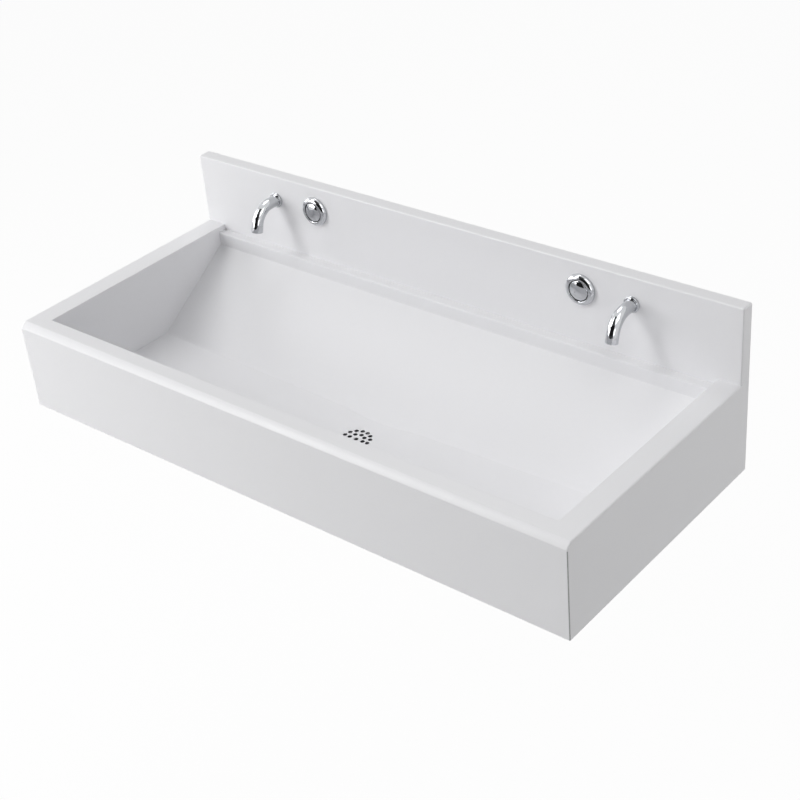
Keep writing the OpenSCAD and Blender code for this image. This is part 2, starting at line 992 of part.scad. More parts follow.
module return_spring(side) {
    points = [
        for (i = [0 : coil_steps], k = [0 : coil_sides - 1]) wire_corner(i, k)
    ];
    walls = [
        for (i = [0 : coil_steps - 1], k = [0 : coil_sides - 1])
            let (
                n = (k + 1) % coil_sides,
                a = i * coil_sides + k,
                b = i * coil_sides + n,
                c = a + coil_sides,
                d = b + coil_sides
            )
            each [[a, b, c], [b, d, c]]
    ];
    first = [for (k = [1 : coil_sides - 2]) [0, k + 1, k]];
    base = coil_steps * coil_sides;
    last = [for (k = [1 : coil_sides - 2]) [base, base + k, base + k + 1]];
    color(spring_steel)
        at_valve(side)
            polyhedron(points = points, faces = concat(walls, first, last));
}

// ---- Nodes ----

front_apron();
end_panel(-1);  // left_end_panel
end_panel(1);  // right_end_panel
front_rim();
side_rim(-1);  // left_rim
side_rim(1);  // right_rim
bowl_front_wall();
bowl_side_wall(-1);  // bowl_left_wall
bowl_side_wall(1);  // bowl_right_wall
trough_floor();
bowl_ramp();
ledge_riser();
rear_ledge();
splashback();
splashback_core();
splashback_top_strip();
splashback_side_strip(-1);  // splashback_left_strip
splashback_side_strip(1);  // splashback_right_strip
wall_rail();
support_ribs();
waste_gasket();
waste_cup();
waste_screws();
spout(-1);  // left_spout
spout_collar(-1);  // left_spout_collar
spout_outlet(-1);  // left_spout_outlet
spout_washer(-1);  // left_spout_washer
spout_backnut(-1);  // left_spout_backnut
feed_elbow(-1);  // left_feed_elbow
link_pipe(-1);  // left_link_pipe
link_nuts(-1);  // left_link_nuts
valve_body(-1);  // left_valve_body
valve_end_cap(-1);  // left_valve_end_cap
valve_washer(-1);  // left_valve_washer
valve_locknut(-1);  // left_valve_locknut
button_bezel(-1);  // left_button_bezel
push_button(-1);  // left_push_button
valve_stem(-1);  // left_valve_stem
return_spring(-1);  // left_return_spring
spout(1);  // right_spout
spout_collar(1);  // right_spout_collar
spout_outlet(1);  // right_spout_outlet
spout_washer(1);  // right_spout_washer
spout_backnut(1);  // right_spout_backnut
feed_elbow(1);  // right_feed_elbow
link_pipe(1);  // right_link_pipe
link_nuts(1);  // right_link_nuts
valve_body(1);  // right_valve_body
valve_end_cap(1);  // right_valve_end_cap
valve_washer(1);  // right_valve_washer
valve_locknut(1);  // right_valve_locknut
button_bezel(1);  // right_button_bezel
push_button(1);  // right_push_button
valve_stem(1);  // right_valve_stem
return_spring(1);  // right_return_spring
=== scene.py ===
"""Wall-hung trough sink for two people: glued solid-surface sheet, with two spouts and push buttons.

X runs along the wall, Y into the wall and Z up, in metres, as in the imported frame.
"""
from math import atan2, cos, hypot, pi, radians, sin, sqrt, tan

import bpy
from mathutils import Matrix, Quaternion, Vector


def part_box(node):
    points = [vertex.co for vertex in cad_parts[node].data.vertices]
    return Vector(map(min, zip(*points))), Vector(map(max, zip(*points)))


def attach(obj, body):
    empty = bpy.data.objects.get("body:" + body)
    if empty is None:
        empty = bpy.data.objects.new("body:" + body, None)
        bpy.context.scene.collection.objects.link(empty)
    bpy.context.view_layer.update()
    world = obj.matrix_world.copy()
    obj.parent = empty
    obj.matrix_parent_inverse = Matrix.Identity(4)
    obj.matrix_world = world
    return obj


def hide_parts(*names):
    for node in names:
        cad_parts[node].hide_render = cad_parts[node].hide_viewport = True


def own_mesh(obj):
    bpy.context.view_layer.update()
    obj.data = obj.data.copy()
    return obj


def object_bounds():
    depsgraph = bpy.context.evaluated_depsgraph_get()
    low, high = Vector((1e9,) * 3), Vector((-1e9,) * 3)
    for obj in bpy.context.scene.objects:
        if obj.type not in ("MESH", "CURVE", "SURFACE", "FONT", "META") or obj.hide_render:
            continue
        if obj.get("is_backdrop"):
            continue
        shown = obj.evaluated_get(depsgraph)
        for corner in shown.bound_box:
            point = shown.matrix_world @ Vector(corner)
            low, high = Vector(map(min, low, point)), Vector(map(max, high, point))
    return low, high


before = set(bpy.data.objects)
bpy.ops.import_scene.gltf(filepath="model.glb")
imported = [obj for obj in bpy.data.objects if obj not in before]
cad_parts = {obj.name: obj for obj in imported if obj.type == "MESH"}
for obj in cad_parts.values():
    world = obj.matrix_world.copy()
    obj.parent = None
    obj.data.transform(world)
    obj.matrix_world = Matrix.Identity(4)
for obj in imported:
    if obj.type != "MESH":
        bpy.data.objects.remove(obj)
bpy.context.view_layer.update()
MM = 0.001

# ---- Camera ----
# The sink is seen from its right-hand end, from above, as by someone who stands a good two
# metres away. The picture is square, and leans a little to the right.
CAMERA_AT = Vector((1.6147, -1.9528, 1.4353))
CAMERA_AIM = Vector((0.0876, -0.2660, 0.0))
CAMERA_LEAN = radians(-5.48)
CAMERA_LENS = 71.22

camera = bpy.data.objects.new("camera", bpy.data.cameras.new("camera"))
bpy.context.scene.collection.objects.link(camera)
bpy.context.scene.camera = camera
camera.location = CAMERA_AT
camera.rotation_mode = "QUATERNION"
level_aim = (CAMERA_AIM - CAMERA_AT).to_track_quat("-Z", "Y")
camera.rotation_quaternion = level_aim @ Quaternion((0, 0, 1), CAMERA_LEAN)
camera.data.lens = CAMERA_LENS

# ---- Front apron and end panels ----
# Upright sheets of solid surface, mitred at the front corners and bonded with colour-matched
# adhesive. The sharp corner of each mitre is sanded to a narrow flat, in which the glue shows.
MITRE_FLAT = 1.4 * MM
HIDDEN_EASE = 0.8 * MM
X, Y, Z = (Vector(axis) for axis in ((1, 0, 0), (0, 1, 0), (0, 0, 1)))


def hex_colour(code):
    """An sRGB colour such as #EDEEF0, as linear RGBA."""
    parts = [int(code[i : i + 2], 16) / 255 for i in (1, 3, 5)]
    return [c / 12.92 if c <= 0.04045 else ((c + 0.055) / 1.055) ** 2.4 for c in parts] + [1]


def add_node(tree, kind, inputs=None, **settings):
    """Adds a shader node. Each input is a value, or the socket that is linked to it."""
    new = tree.nodes.new("ShaderNode" + kind)
    for name, value in settings.items():
        setattr(new, name, value)
    for name, value in (inputs or {}).items():
        if isinstance(value, bpy.types.NodeSocket):
            tree.links.new(value, new.inputs[name])
        else:
            new.inputs[name].default_value = value
    return new


def new_material(name, **sockets):
    """A material whose Principled shader has these sockets, written as base_color and the like."""
    material = bpy.data.materials.new(name)
    material.use_nodes = True
    shader = material.node_tree.nodes["Principled BSDF"]
    for socket, value in sockets.items():
        shader.inputs[socket.replace("_", " ").title().replace("Ior", "IOR")].default_value = value
    return material, material.node_tree, shader


def speckle(tree, grain_mm, detail=2.0, roughness=0.5):
    """Noise whose blotches measure grain_mm (x, y, z) on the piece."""
    place = add_node(tree, "TexCoord")
    stretch = add_node(
        tree,
        "Mapping",
        {"Vector": place.outputs["Object"], "Scale": [1 / (g * MM) for g in grain_mm]},
    )
    return add_node(
        tree,
        "TexNoise",
        {"Vector": stretch.outputs["Vector"], "Scale": 1.0, "Detail": detail, "Roughness": roughness},
    ).outputs["Fac"]


def vary(tree, shader, socket, noise, low, high):
    """Lets a noise move a socket of the shader between two values."""
    spread = add_node(
        tree,
        "MapRange",
        {"Value": noise, "From Min": 0.3, "From Max": 0.7, "To Min": low, "To Max": high},
    )
    tree.links.new(spread.outputs["Result"], shader.inputs[socket])


def tint(tree, shader, noise, code_a, code_b):
    """Lets a noise mix two colours into the shader's base colour."""
    mix = add_node(tree, "ValToRGB", {"Fac": noise})
    mix.color_ramp.elements[0].position = 0.35
    mix.color_ramp.elements[1].position = 0.65
    mix.color_ramp.elements[0].color = hex_colour(code_a)
    mix.color_ramp.elements[1].color = hex_colour(code_b)
    tree.links.new(mix.outputs["Color"], shader.inputs["Base Color"])


def roughen(tree, shader, noise, height_mm):
    """Lets a noise raise the surface by up to height_mm."""
    bump = add_node(tree, "Bump", {"Height": noise, "Distance": height_mm * MM, "Strength": 1.0})
    tree.links.new(bump.outputs["Normal"], shader.inputs["Normal"])


# Solid surface, sanded and rubbed to a satin: soft, wide highlights, a faint haze where the
# rubbing was uneven, and the finest scratches. Its filler shows as a barely visible grain.
SURFACE_HAZE_MM = (70, 70, 70)
SURFACE_GRAIN_MM = (0.9, 0.9, 0.9)
solid_surface, tree, shader = new_material("sanded_solid_surface", ior=1.5)
tint(tree, shader, speckle(tree, SURFACE_GRAIN_MM), "#F0F0F2", "#F3F3F5")
vary(tree, shader, "Roughness", speckle(tree, SURFACE_HAZE_MM, detail=4), 0.30, 0.38)
roughen(tree, shader, speckle(tree, SURFACE_GRAIN_MM, detail=3), 0.006)

# Cured joint adhesive, sanded flush: a shade greyer and duller than the sheet beside it.
joint_adhesive, tree, shader = new_material("sanded_joint_adhesive", ior=1.5)
tint(tree, shader, speckle(tree, (3, 3, 3)), "#B4B5B5", "#BEBFBF")
vary(tree, shader, "Roughness", speckle(tree, (6, 6, 6)), 0.45, 0.6)


def start_box(name, low, high, *materials):
    """A cube stretched from one corner to the other, and left alone in the selection."""
    bpy.ops.object.select_all(action="DESELECT")
    bpy.ops.mesh.primitive_cube_add(size=1, location=(low + high) / 2, scale=high - low)
    return own_it(name, *materials)


def own_it(name, *materials):
    """Names the new primitive, applies its place and gives it its materials."""
    bpy.ops.object.transform_apply(location=True, rotation=True, scale=True)
    piece = bpy.context.object
    piece.name = piece.data.name = name
    for material in materials:
        piece.data.materials.append(material)
    return piece


def use(piece):
    """Makes the piece the only one selected."""
    bpy.ops.object.select_all(action="DESELECT")
    piece.select_set(True)
    bpy.context.view_layer.objects.active = piece


def pick(kind, rule):
    """Selects the faces, or with kind "edges" the edges, for which the rule holds, in edit mode."""
    modes = (False, kind == "edges", kind == "polygons")
    bpy.ops.object.mode_set(mode="EDIT")
    bpy.context.tool_settings.mesh_select_mode = modes
    bpy.ops.mesh.select_all(action="DESELECT")
    bpy.ops.object.mode_set(mode="OBJECT")
    mesh = bpy.context.object.data
    for part in getattr(mesh, kind):
        if kind == "edges":
            part.select = rule(*[mesh.vertices[i].co for i in part.vertices])
        else:
            part.select = rule(part.center, part.normal)
    bpy.ops.object.mode_set(mode="EDIT")


def cut_off(point, normal, paint=0):
    """Saws away what lies on the normal's side of a plane. The cut takes the material paint."""
    bpy.ops.object.mode_set(mode="EDIT")
    bpy.ops.mesh.select_all(action="SELECT")
    bpy.ops.mesh.bisect(plane_co=point, plane_no=normal, use_fill=True, clear_outer=True)
    bpy.context.object.active_material_index = paint
    bpy.ops.object.material_slot_assign()
    bpy.ops.object.mode_set(mode="OBJECT")


def score(point, normal):
    """Draws an edge round the piece where a plane crosses it."""
    bpy.ops.object.mode_set(mode="EDIT")
    bpy.ops.mesh.select_all(action="SELECT")
    bpy.ops.mesh.bisect(plane_co=point, plane_no=normal)
    bpy.ops.object.mode_set(mode="OBJECT")


def ease(width, rule, segments=3):
    """Rounds the edges whose ends satisfy the rule."""
    pick("edges", rule)
    bpy.ops.mesh.bevel(offset=width, segments=segments, affect="EDGES", clamp_overlap=False)
    bpy.ops.object.mode_set(mode="OBJECT")


def near(value, target, slack=0.02 * MM):
    """True where a coordinate lies on a line or plane."""
    return abs(value - target) < slack


def in_planes(point, *normals):
    """A rule for the edges that lie in all the planes with these normals through a point."""
    return lambda a, b: all(near((end - point).dot(normal), 0) for end in (a, b) for normal in normals)


def flat_and_smooth(piece, angle=40):
    """Shades flat faces flat and the small curves between them smooth."""
    use(piece)
    bpy.ops.object.shade_smooth_by_angle(angle=radians(angle))
    bpy.ops.object.modifier_add(type="WEIGHTED_NORMAL")
    piece.modifiers[-1].keep_sharp = True
    bpy.ops.object.modifier_apply(modifier=piece.modifiers[-1].name)


def settle(piece, slot, *nodes, body="root"):
    """The piece stands for these nodes and rides on their body. The slot is not used."""
    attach(piece, body)
    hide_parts(*nodes)


apron_low, apron_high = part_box("front_apron")
x_end, y_front = apron_high.x, apron_low.y
sheet_t = apron_high.y - apron_low.y


def sand_mitre(side):
    """Sands the corner of a mitre to its flat."""
    cut_off((side * (x_end - MITRE_FLAT), y_front, 0), (side, -1, 0), paint=1)


front_apron = start_box("apron_sheet", apron_low, apron_high, solid_surface, joint_adhesive)
for side in (-1, 1):
    cut_off((side * x_end, y_front, 0), (side, 1, 0))
    sand_mitre(side)
ease(HIDDEN_EASE, in_planes(apron_low, Z))
flat_and_smooth(front_apron)
settle(front_apron, "solid_surface", "front_apron")

for side, word in ((-1, "left"), (1, "right")):
    low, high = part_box(word + "_end_panel")
    end_panel = start_box(word + "_end_sheet", low, high, solid_surface, joint_adhesive)
    cut_off((side * x_end, y_front, 0), (-side, -1, 0))
    sand_mitre(side)
    ease(HIDDEN_EASE, in_planes(low, Z))
    flat_and_smooth(end_panel)
    settle(end_panel, "solid_surface", word + "_end_panel")

# ---- Rim ----
# The top frame: a front strip between two end strips. Its front edge is planed to a broad, slightly
# rounded chamfer, and its other edges are eased by hand. It is shaped as one and parted at the glue.
CHAMFER_D = 12.5 * MM
CHAMFER_TILTS = [radians(t) for t in range(25, 56, 5)]
OUTER_EASE = 2.5 * MM
INNER_EASE = 1.5 * MM
RIM_CREASE = 18

rim_low, rim_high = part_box("front_rim")
z_rim, y_in = rim_high.z, rim_high.y
x_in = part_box("right_rim")[0].x
y_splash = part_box("splashback")[0].y


def plane_chamfer():
    """Takes the arc off the front edge in one tangent cut for each tilt."""
    first, last = CHAMFER_TILTS[0], CHAMFER_TILTS[-1]
    radius = CHAMFER_D / (sin(last) - sin(first))
    centre = Vector((0, y_front + CHAMFER_D + radius * sin(first), z_rim - radius * cos(first)))
    for tilt in CHAMFER_TILTS:
        outward = Vector((0, -sin(tilt), cos(tilt)))
        cut_off(centre + radius * outward, outward)


def on_inner_edge(a, b):
    """The upper edges round the mouth of the bowl."""
    if not (near(a.z, z_rim) and near(b.z, z_rim)) or max(a.y, b.y) > y_splash + MM:
        return False
    across = near(a.y, y_in) and near(b.y, y_in) and max(abs(a.x), abs(b.x)) < x_in + MM
    along = near(abs(a.x), x_in) and near(abs(b.x), x_in) and min(a.y, b.y) > y_in - MM
    return across or along


def on_outer_edge(a, b):
    """The upper edges of both ends, with the ends of the chamfer."""
    if not (near(abs(a.x), x_end) and near(abs(b.x), x_end)) or max(a.y, b.y) > y_splash + MM:
        return False
    on_top = near(a.z, z_rim) and near(b.z, z_rim)
    in_front = max(a.y, b.y) < y_front + CHAMFER_D + MM and not near(a.y, b.y)
    return on_top or (in_front and min(a.z, b.z) > rim_low.z + MM) or on_front_corner(a, b)


def on_front_corner(a, b):
    """The short upright edges below the ends of the chamfer."""
    return near(a.y, y_front) and near(b.y, y_front) and not near(a.z, b.z)


def part_off(rule):
    """Takes the faces away that satisfy the rule, and closes the section that this opens."""
    pick("polygons", rule)
    bpy.ops.mesh.delete(type="FACE")
    bpy.ops.mesh.select_mode(type="EDGE")
    bpy.ops.mesh.select_all(action="DESELECT")
    bpy.ops.mesh.select_non_manifold()
    bpy.ops.mesh.fill_holes(sides=0)
    bpy.ops.object.mode_set(mode="OBJECT")


def copy_of(piece, name):
    """A copy with its own mesh, alone in the selection."""
    twin = piece.copy()
    twin.data = piece.data.copy()
    twin.name = twin.data.name = name
    bpy.context.scene.collection.objects.link(twin)
    use(twin)
    return twin


rim = start_box("front_rim_strip", rim_low, rim_high, solid_surface)
plane_chamfer()
for x in (-x_in, x_in):
    score((x, 0, 0), (1, 0, 0))
pick("polygons", lambda c, n: n.y > 0.9 and abs(c.x) > x_in)
bpy.ops.mesh.extrude_region_move(TRANSFORM_OT_translate={"value": (0, -y_in, 0)})
score((0, y_splash, 0), (0, 1, 0))
ease(INNER_EASE, on_inner_edge, segments=6)
ease(OUTER_EASE, on_outer_edge, segments=6)
score((0, y_in, 0), (0, 1, 0))
for side, word in ((-1, "left"), (1, "right")):
    side_rim = copy_of(rim, word + "_rim_strip")
    part_off(lambda c, n: c.y < y_in + 0.01 * MM or c.x * side < 0)
    flat_and_smooth(side_rim, RIM_CREASE)
    settle(side_rim, "solid_surface", word + "_rim")
use(rim)
part_off(lambda c, n: c.y > y_in + 0.01 * MM)
flat_and_smooth(rim, RIM_CREASE)
settle(rim, "solid_surface", "front_rim")

# ---- Walls of the bowl ----
# Three upright sheets glued under the rim, flush with its inner edges. Their lower corners are
# only knocked off, because the body hides them.
for word in ("bowl_front_wall", "bowl_left_wall", "bowl_right_wall"):
    low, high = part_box(word)
    wall = start_box(word + "_sheet", low, high, solid_surface)
    ease(HIDDEN_EASE, in_planes(low, Z), segments=2)
    flat_and_smooth(wall)
    settle(wall, "solid_surface", word)

# ---- Trough floor and drain grid ----
# One sheet that falls from both ends to the middle, where it is dished round twenty-three drilled
# holes. The skin under the holes is routed thin from below, and their rims are just countersunk.
# Adhesive fills the angle at the ramp in a small sanded hollow.
DRAIN_D = 8 * MM
DRAIN_RIM = 0.45 * MM
DRAIN_RINGS = ((1, 0), (8, 29.2 * MM), (14, 50.8 * MM))
SCREW_CIRCLE = 84 * MM
SCREW_HOLE_D = 5.2 * MM
SCREW_HOLE_DEPTH = 8 * MM
CREASE_HOLLOW = 8 * MM
HOLLOW_STEPS = 4
DISH_R = 120 * MM
DISH_DEPTH = 3 * MM
DISH_GRID = 10 * MM
GRID_LINES_BEHIND = 6
SKIN_R = 31.5 * MM
SKIN_T = 3 * MM
DRILL_L = 30 * MM
BIT_OVERLAP = 10 * MM
BIT_TURN = radians(3)
FLARE_RISE = 1.8  # times the width of the countersink
SLIVER = 0.002 * MM

floor_low, floor_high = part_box("trough_floor")
ramp_low, ramp_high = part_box("bowl_ramp")
floor_fall = (floor_high.z - floor_low.z) - sheet_t
y_crease = floor_high.y
ramp_along = Vector((0, ramp_high.y - y_crease, ramp_high.z - floor_high.z)).normalized()
ramp_up = Vector((0, -ramp_along.z, ramp_along.y))
waste_low, waste_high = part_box("waste_gasket")
y_drain = (waste_low.y + waste_high.y) / 2
pad_x = waste_high.x + sheet_t


def nudge(by, rule):
    """Moves the edges that satisfy the rule."""
    pick("edges", rule)
    bpy.ops.transform.translate(value=by)
    bpy.ops.object.mode_set(mode="OBJECT")


def hollow_out(corner, line, along, up, radius, turn):
    """Raises a sheet's edge against its neighbour in a hollow of the given radius.

    The corner lies on the edge, line runs along it, along runs over the surface to it, and up is
    the surface's normal. The surface turns by the angle turn.
    """
    reach = radius * tan(turn / 2)
    places = [-reach * (HOLLOW_STEPS - i) / HOLLOW_STEPS for i in range(HOLLOW_STEPS + 1)]
    for place in places[:-1]:
        score(corner + along * place, line.cross(up))
    for i in range(1, HOLLOW_STEPS + 1):
        bend = turn * i / HOLLOW_STEPS
        lift = along * (radius * sin(bend) - reach - places[i]) + up * radius * (1 - cos(bend))
        nudge(lift, in_planes(corner + line.cross(up) * places[i], up, line.cross(up)))


def carve(piece, tool, how="DIFFERENCE"):
    """Cuts the tool out of the piece, or with another word joins or intersects the two."""
    use(piece)
    bpy.ops.object.modifier_add(type="BOOLEAN")
    boolean = piece.modifiers[-1]
    boolean.operation = how
    boolean.object = tool
    bpy.ops.object.modifier_apply(modifier=boolean.name)
    bpy.data.objects.remove(tool)
    bpy.ops.object.mode_set(mode="EDIT")
    bpy.ops.mesh.select_all(action="SELECT")
    bpy.ops.mesh.remove_doubles(threshold=SLIVER)
    bpy.ops.mesh.dissolve_degenerate(threshold=SLIVER)
    bpy.ops.object.mode_set(mode="OBJECT")


def join_all(pieces):
    """Makes several objects one, under the first one's name."""
    use(pieces[0])
    for piece in pieces[1:]:
        piece.select_set(True)
    bpy.ops.object.join()
    return pieces[0]


def drill_bit(diameter, low, high, flare=0.0, corners=32):
    """A bit from low to high. Above high it flares out, so that it countersinks by that much."""
    bpy.ops.object.select_all(action="DESELECT")
    middle = (low + high - flare) / 2
    bpy.ops.mesh.primitive_cylinder_add(
        vertices=corners,
        radius=diameter / 2,
        depth=high - flare - low,
        location=(0, 0, middle),
        rotation=(0, 0, BIT_TURN),
    )
    bit = own_it("bit")
    if flare:
        pick("polygons", lambda c, n: n.z > 0.9)
        widen = 1 + 2 * FLARE_RISE * flare / diameter
        bpy.ops.mesh.extrude_region_move(TRANSFORM_OT_translate={"value": (0, 0, FLARE_RISE * flare)})
        bpy.ops.transform.resize(value=(widen, widen, 1))
        bpy.ops.object.mode_set(mode="OBJECT")
    return bit


def floor_z(x):
    """Height of the floor's two slopes."""
    return floor_high.z - floor_fall * (1 - abs(x) / x_in)


def dish_share(place):
    """How far the dish takes this place down, from nought at its edge to one behind the drain."""
    rise = max(0, 1 - hypot(place.x, min(place.y - y_drain, 0)) / DISH_R)
    return rise**2 * (3 - 2 * rise)


def dish_z(place):
    """Height of the dished floor. Each point of it has slid down along the ramp's slope."""
    start = place + Y * DISH_DEPTH * ramp_along.y / ramp_along.z * dish_share(place)
    return floor_z(place.x) - DISH_DEPTH * dish_share(start)


def ring_of_places(count, diameter, first=0.0):
    """Points on a circle round the drain's centre."""
    angles = [first + 2 * pi * i / count for i in range(count)]
    return [Vector((diameter / 2 * cos(a), y_drain + diameter / 2 * sin(a), 0)) for a in angles]


half_floor = start_box(
    "drilled_floor_sheet", Vector((0, floor_low.y, floor_low.z)), floor_high, solid_surface
)
score((pad_x, 0, 0), (1, 0, 0))
for x in (0, pad_x):
    nudge(Z * (floor_z(x) - floor_high.z), in_planes(Vector((x, 0, floor_high.z)), X, Z))
nudge(Z * floor_fall, in_planes(Vector((x_in, 0, floor_low.z)), X, Z))
crease_back = floor_fall * ramp_along.y / ramp_along.z
crease_mid = Vector((0, y_crease - crease_back, floor_high.z - floor_fall))
crease_line = (Vector((x_in, y_crease, floor_high.z)) - crease_mid).normalized()
floor_up = Vector((-floor_fall, 0, x_in)).normalized()
cut_off((0, y_crease, floor_high.z), -ramp_up)
hollow_out(
    crease_mid, crease_line, floor_up.cross(crease_line), floor_up, CREASE_HOLLOW, ramp_up.angle(floor_up)
)
pick("polygons", lambda centre, normal: normal.x < -0.9 and near(centre.x, 0, MM))
bpy.ops.mesh.delete(type="FACE")
bpy.ops.object.mode_set(mode="OBJECT")
bpy.ops.object.modifier_add(type="MIRROR")
half_floor.modifiers[-1].merge_threshold = 0.2 * MM
bpy.ops.object.modifier_apply(modifier=half_floor.modifiers[-1].name)
trough_floor = half_floor
for i in range(1, round(DISH_R / DISH_GRID) + 1):
    for side in (-1, 1):
        score(X * side * i * DISH_GRID, X)
    score(Y * (y_drain - i * DISH_GRID), Y)
for i in range(GRID_LINES_BEHIND):
    score(Y * (y_drain + i * DISH_GRID), Y)
pick("polygons", lambda centre, normal: normal.dot(ramp_up) < -0.999)
bpy.ops.mesh.dissolve_faces()
pick("polygons", lambda centre, normal: normal.z > 0.8)
bpy.ops.mesh.hide(unselected=True)
pick(
    "edges",
    lambda a, b: all(
        near(end.x, 0) and end.y > y_drain - MM and end.z > floor_z(0) - MM for end in (a, b)
    ),
)
bpy.ops.transform.translate(
    value=ramp_along * -DISH_DEPTH / ramp_along.z,
    use_proportional_edit=True,
    proportional_edit_falloff="SMOOTH",
    proportional_size=DISH_R,
)
bpy.ops.mesh.reveal(select=False)
bpy.ops.object.mode_set(mode="OBJECT")
router = drill_bit(2 * SKIN_R, floor_low.z - BIT_OVERLAP, dish_z(Y * y_drain) - SKIN_T, corners=64)
router.location = Y * y_drain
carve(trough_floor, router)

# Bores left as drilled, painted dark grey and dull against the rubbed face: painted shade for the depth of
# the holes.
shade_painted_bore, tree, shader = new_material("painted_shade_bore_walls", ior=1.5)
tint(tree, shader, speckle(tree, (2, 2, 2)), "#5C5D60", "#6E6F72")
vary(tree, shader, "Roughness", speckle(tree, (2, 2, 2)), 0.5, 0.7)
trough_floor.data.materials.append(shade_painted_bore)

drill = drill_bit(DRAIN_D, -DRILL_L, 0, DRAIN_RIM)
screw_drill = drill_bit(SCREW_HOLE_D, -BIT_OVERLAP, SCREW_HOLE_DEPTH)
bits = []
for count, diameter in DRAIN_RINGS:
    for place in ring_of_places(count, diameter):
        bits.append(copy_of(drill, "bit"))
        bits[-1].location = place + Z * dish_z(place)
for place in ring_of_places(4, SCREW_CIRCLE, pi / 4):
    bits.append(copy_of(screw_drill, "bit"))
    bits[-1].location = place + Vector((0, 0, floor_low.z))
for spare in (drill, screw_drill):
    bpy.data.objects.remove(spare)
carve(trough_floor, join_all(bits))
drain_middle = Vector((0, y_drain, dish_z(Y * y_drain)))
# The bores' drilled walls take the dark grey: painted shade for the depth of the holes.
pick("polygons", lambda centre, normal: abs(normal.z) < 0.3 and (centre - drain_middle).length < SKIN_R)
trough_floor.active_material_index = 1
bpy.ops.object.material_slot_assign()
bpy.ops.object.mode_set(mode="OBJECT")
flat_and_smooth(trough_floor, angle=30)
settle(trough_floor, "solid_surface", "trough_floor")

# ---- Ramp, riser and rear ledge ----
# The long slope under the spouts, a low riser at its head and the narrow ledge on top of it. The
# riser's foot is filled to a small hollow, and the ledge's front edge is eased.
RISER_HOLLOW = 2.5 * MM
LEDGE_EASE = 2 * MM

ramp = start_box("ramp_sheet", ramp_low, ramp_high, solid_surface)
ramp_head = Vector((0, ramp_high.y, ramp_high.z))
cut_off(ramp_head, ramp_up)
cut_off(ramp_head - ramp_up * sheet_t, -ramp_up)
hollow_out(ramp_head, X, ramp_along, ramp_up, RISER_HOLLOW, ramp_along.angle(Z))
flat_and_smooth(ramp)
settle(ramp, "solid_surface", "bowl_ramp")

low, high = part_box("ledge_riser")
riser = start_box("riser_sheet", low, high, solid_surface)
ease(HIDDEN_EASE, in_planes(low, Z), segments=2)
flat_and_smooth(riser)
settle(riser, "solid_surface", "ledge_riser")

low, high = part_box("rear_ledge")
ledge = start_box("ledge_strip", low, high, solid_surface)
ease(LEDGE_EASE, in_planes(Vector((0, low.y, high.z)), Y, Z), segments=6)
flat_and_smooth(ledge)
settle(ledge, "solid_surface", "rear_ledge")

# ---- Splashback ----
# A face sheet that reaches down behind the ledge, built up to 25 mm at its edges by glued strips
# behind it. The built-up edge is rounded at the top corners and eased all round its front.
SPLASH_CORNER = 3 * MM
SPLASH_EASE = 2.5 * MM
JOINT_EASE = 0.4 * MM
SPOUT_HOLE_R = 10.975 * MM
VALVE_HOLE_R = 21.5 * MM
BORE_L = 60 * MM

splash_low, splash_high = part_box("splashback")
y_sheet_back = splash_high.y
z_top, z_tongue = splash_high.z, splash_low.z


def bore_through(piece, radius, place):
    """Drills the piece from front to back."""
    bpy.ops.object.select_all(action="DESELECT")
    bpy.ops.mesh.primitive_cylinder_add(
        vertices=64, radius=radius, depth=BORE_L, location=place, rotation=(pi / 2, 0, 0)
    )
    carve(piece, own_it("bit"))


def bore_for_stations(piece):
    """Drills the holes of both stations round the middles of their collars and bezels."""
    for word in ("left", "right"):
        for part, radius in (("spout_collar", SPOUT_HOLE_R), ("button_bezel", VALVE_HOLE_R)):
            low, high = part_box(f"{word}_{part}")
            bore_through(piece, radius, (low + high) / 2)


slab_low, slab_high = Vector((-x_end, y_splash, z_rim)), Vector((x_end, 0, z_top))
slab = start_box("splash_face_sheet", slab_low, slab_high, solid_surface)
for corner in (slab_high, Vector((-x_end, 0, z_top))):
    ease(SPLASH_CORNER, in_planes(corner, X, Z), segments=6)
ease(SPLASH_EASE, lambda a, b: in_planes(slab_low, Y)(a, b) and max(a.z, b.z) > z_rim + MM, segments=6)
for corner in (slab_low, Vector((x_end, y_splash, z_rim))):
    ease(JOINT_EASE, in_planes(corner, X, Z), segments=1)
strip_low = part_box("splashback_top_strip")[0]
strip_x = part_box("splashback_right_strip")[0].x

top_strip = copy_of(slab, "splash_top_strip")
cut_off((0, y_sheet_back, 0), (0, -1, 0))
cut_off((0, 0, strip_low.z), (0, 0, -1))
flat_and_smooth(top_strip)
settle(top_strip, "solid_surface", "splashback_top_strip")

for side, word in ((-1, "left"), (1, "right")):
    side_strip = copy_of(slab, f"splash_{word}_strip")
    cut_off((0, y_sheet_back, 0), (0, -1, 0))
    cut_off((0, 0, strip_low.z), (0, 0, 1))
    cut_off((side * strip_x, 0, 0), (-side, 0, 0))
    flat_and_smooth(side_strip)
    settle(side_strip, "solid_surface", f"splashback_{word}_strip")

use(slab)
cut_off((0, y_sheet_back, 0), (0, 1, 0))
for x in (-x_in, x_in):
    score((x, 0, 0), (1, 0, 0))
pick("polygons", lambda c, n: n.z < -0.9 and abs(c.x) < x_in)
bpy.ops.mesh.extrude_region_move(TRANSFORM_OT_translate={"value": (0, 0, z_tongue - z_rim)})
bpy.ops.object.mode_set(mode="OBJECT")
bore_for_stations(slab)
flat_and_smooth(slab)
settle(slab, "solid_surface", "splashback")

